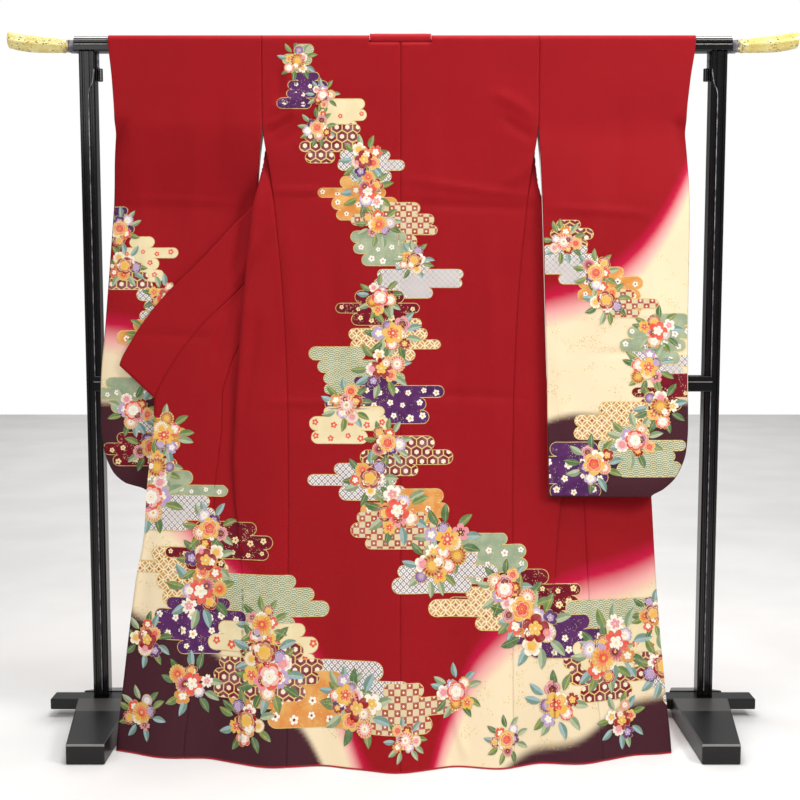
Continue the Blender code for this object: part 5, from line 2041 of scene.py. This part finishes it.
    def build(self) -> None:
        """Dresses every solid of the stand and adds the modelled pieces."""
        up, along_y, dull = 2, 1, dyes("0C0A0B")[0]
        toe, heel = (corner[along_y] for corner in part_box("foot_front_left"))
        # Painted highlight lines on the top bar's mouldings and the middle bar's top edge; on the front feet,
        # a painted reflection on the flat rear of the top and a painted highlight along the toe.
        bar_highlights = (up, 1.5712, 1.5748, 0.85), (up, 1.5662, 1.5676, 0.45), (up, 1.5566, 1.5586, 0.55)
        foot_highlights = (along_y, heel - 0.085, heel, 0.10), (along_y, toe, toe + 0.0050, 0.34)
        post, gilt, grey = (
            kind.make() for kind in (Lacquer("post_lacquer"), Gilding("gilding"), GreyPlate("grey_plate"))
        )
        front_foot = Lacquer("front_foot_lacquer", 0.36, dull, foot_highlights, self.toe_height).make()
        foot = Lacquer("foot_lacquer", 0.30, dull).make()
        self.dress("top_bar", Lacquer("bar_lacquer", lines=bar_highlights).make())
        self.dress("middle_bar", Lacquer("rail_lacquer", lines=((up, 0.7930, 0.7950, 0.45),)).make())
        for side in Side:
            for name, finish in (
                ("post", post), ("knob", post), ("foot_front", front_foot), ("foot_cross", foot),
                ("foot_rear", foot), ("bar_collar", grey), ("rod", grey), ("bar_end", gilt),
            ):
                self.dress(f"{name}_{side.label}", finish)
            self.model_horn(side, gilt)
            self.model_inlay(side, grey)


@dataclass
class Studio:
    """The pale floor, the light and the camera. Each lamp has its name, place, target, size and power."""

    camera_place: Point3 = (-0.007, -2.786, 1.006)
    pitch: float = 5.25
    lens: float = 54.05
    floor_size: float = 14.0
    soft_light: float = 0.23
    lamps: tuple[tuple[str, Point3, Point3, float, float], ...] = (
        ("key", (1.9, -1.4, 2.4), (0.0, 0.1, 1.20), 0.9, 41.0),
        ("fill", (-1.7, -1.9, 2.4), (-0.1, 0.1, 1.25), 1.6, 18.0),
        ("top", (0.0, 0.05, 3.1), (0.0, 0.1, 1.2), 1.3, 62.0),
        ("front_floor_light", (0.0, -6.5, 4.0), (0.0, -6.5, 0.0), 6.5, 120.0),
        ("rear_floor_light", (0.0, 5.5, 4.0), (0.0, 5.5, 0.0), 6.5, 190.0),
    )

    def floor(self) -> None:
        """The pale floor that the feet stand on."""
        half = self.floor_size / 2
        corners = [(-half, -half, 0.0), (half, -half, 0.0), (half, half, 0.0), (-half, half, 0.0)]
        floor = new_piece("floor", corners, [(0, 1, 2, 3)])
        floor.data.materials.append(PaleFloor("pale_floor").make())

    def light(self, name: str, place: Point3, target: Point3, size: float, power: float) -> None:
        """A large soft lamp aimed at a target."""
        data = bpy.data.lights.new(name, "AREA")
        data.shape, data.size, data.energy = "SQUARE", size, power
        lamp = bpy.data.objects.new(name, data)
        bpy.context.scene.collection.objects.link(lamp)
        lamp.location = place
        lamp.rotation_euler = (Vector(target) - Vector(place)).to_track_quat("-Z", "Y").to_euler()

    def surround(self) -> bpy.types.World:
        """A white surround that the camera sees brighter than the part does."""
        world = bpy.data.worlds.new("studio")
        world.use_nodes = True
        sky = world.node_tree
        path = sky.nodes.new("ShaderNodeLightPath")
        strength = sky.nodes.new("ShaderNodeMapRange")
        strength.inputs["To Min"].default_value = self.soft_light
        strength.inputs["To Max"].default_value = 1.0
        sky.links.new(path.outputs["Is Camera Ray"], strength.inputs["Value"])
        sky.links.new(strength.outputs["Result"], sky.nodes["Background"].inputs["Strength"])
        sky.nodes["Background"].inputs["Color"].default_value = (1.0, 1.0, 1.0, 1.0)
        return world

    def build(self, shift: float) -> None:
        """Sets up the studio round the part.

        Args:
            shift: Where the stand's middle plane lies along the frame's Y.
        """
        self.floor()
        scene = bpy.context.scene
        scene.view_settings.view_transform = "Standard"
        scene.view_settings.look = "None"
        scene.world = self.surround()
        for lamp in self.lamps:
            self.light(*lamp)
        data = bpy.data.cameras.new("camera")
        data.lens, data.sensor_width = self.lens, 36.0
        scene.camera = bpy.data.objects.new("camera", data)
        scene.collection.objects.link(scene.camera)
        x, y, z = self.camera_place
        scene.camera.location = (x, y + shift, z)
        scene.camera.rotation_euler = (math.radians(90 - self.pitch), 0.0, 0.0)


@dataclass
class Furisode:
    """The garment: every cut piece as a shell on its solid's form."""

    drape: Drape
    dyes: Dyes = field(default_factory=Dyes)

    def paint(self, kind: str, side: Side) -> Paint:
        """A painter of the ground colour, by place in the frame."""
        if kind == "sleeve":
            return lambda p: self.dyes.sleeve(side, p.x, p.z)
        if kind == "collar":
            return lambda p: RED
        return lambda p: self.dyes.body(p.x, p.z)

    def lining(self, p: Vector) -> Colour:
        """The lining's colour at a place in the frame."""
        return self.dyes.lining(p.z)

    def cloths(self) -> list[Cloth]:
        """Every piece, in the order in which they are sewn."""
        drape, made = self.drape, []
        cuts = (
            ("body", Body, Side.RIGHT, (0.33, 3.30), 1.02), ("okumi", Okumi, Side.LEFT, (0.155, 1.33), 0.16),
            ("sleeve", Sleeve, Side.LEFT, (0.34, 2.10), None),
        )
        for side in Side:
            for kind, maker, flipped, flat, area in cuts:
                node, weave, paint = f"{kind}_{side.label}", maker(drape, side).weave(), self.paint(kind, side)
                made.append(Cloth(node, weave, side is flipped, paint, self.lining, flat, area))
        for name, weave in Collar(drape).weaves().items():
            flat = (0.11, 0.74) if name == "over_collar" else (0.11, 0.66)
            made.append(Cloth(name, weave, True, self.paint("collar", Side.of(name)), self.lining, flat))
        return made

    def fillings(self) -> dict[Fill, bpy.types.Material]:
        """What each kind of painted shape is filled with."""
        made: dict[Fill, Finish] = {
            Fill.PAINT: PaintedDye("painted_dye"),
            Fill.GOLD: GoldThread("gold_thread"),
            Fill.CREAM: PlainGround("cream_ground", *dyes("E6D3A6 F0E2BC")),
            Fill.VIOLET: PlainGround("violet_ground", *dyes("5E2F63 3F1E4A")),
            Fill.ENJI: PlainGround("deep_red_ground", *dyes("7A1526 541020"), 0.26),
            Fill.ORANGE: PlainGround("orange_ground", *dyes("D98B45 E9BE76")),
            Fill.STEM: PlainGround("grey_green_ground", *dyes("93A184 B9BE9C")),
        }
        for name, fill, size, codes in (
            ("dapple", Fill.KANOKO, 0.0135, "E9E3DD 75606A 6E4450"),
            ("sea_waves", Fill.WAVES, 0.026, "DDD0A4 6E8B74"),
            ("linked_rings", Fill.RINGS, 0.022, "C9904A F0E2B8 8E2A2A"),
            ("tortoiseshell", Fill.HEXAGONS, 0.024, "7A1526 E3C678 F1DFC0"),
            ("chequer", Fill.CHECKS, 0.013, "D9C59A A9493A F3E4B4"),
        ):
            made[fill] = SmallPattern(name, fill, size, *dyes(codes))
        return {fill: finish.make() for fill, finish in made.items()}

    def decorate(self, cloths: Sequence[Cloth]) -> dict[str, bpy.types.Object]:
        """Paints and gilds the pieces.

        Args:
            cloths: Every cut piece.

        Returns:
            The painted work by the node of the piece that carries it.
        """
        work = Decoration({cloth.node: cloth.weave for cloth in cloths}, self.fillings())
        design = Composition()
        body = design.body()
        for side in Side:
            work.lay(body, Half(self.drape, side))
            for far in (False, True):
                work.lay(design.sleeve(side, far), Tube(self.drape, side, far))
        return {node: work.build(node) for node in work.laid}

    def build(self) -> None:
        """Makes and decorates every piece."""
        silk = Silk("silk_crepe", "dye", 0.58, True).make()
        lining = Silk("silk_lining", "lining", 0.45).make()
        cloths = self.cloths()
        painting = self.decorate(cloths)
        for cloth in cloths:
            cloth.build((silk, lining))


def main() -> None:
    """Builds the part and its studio."""
    logging.basicConfig(level=logging.INFO, format="%(message)s")
    drape = Drape()
    Furisode(drape).build()
    Stand(drape.shift).build()
    Studio().build(drape.shift)
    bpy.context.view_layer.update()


if __name__ == "__main__":
    main()
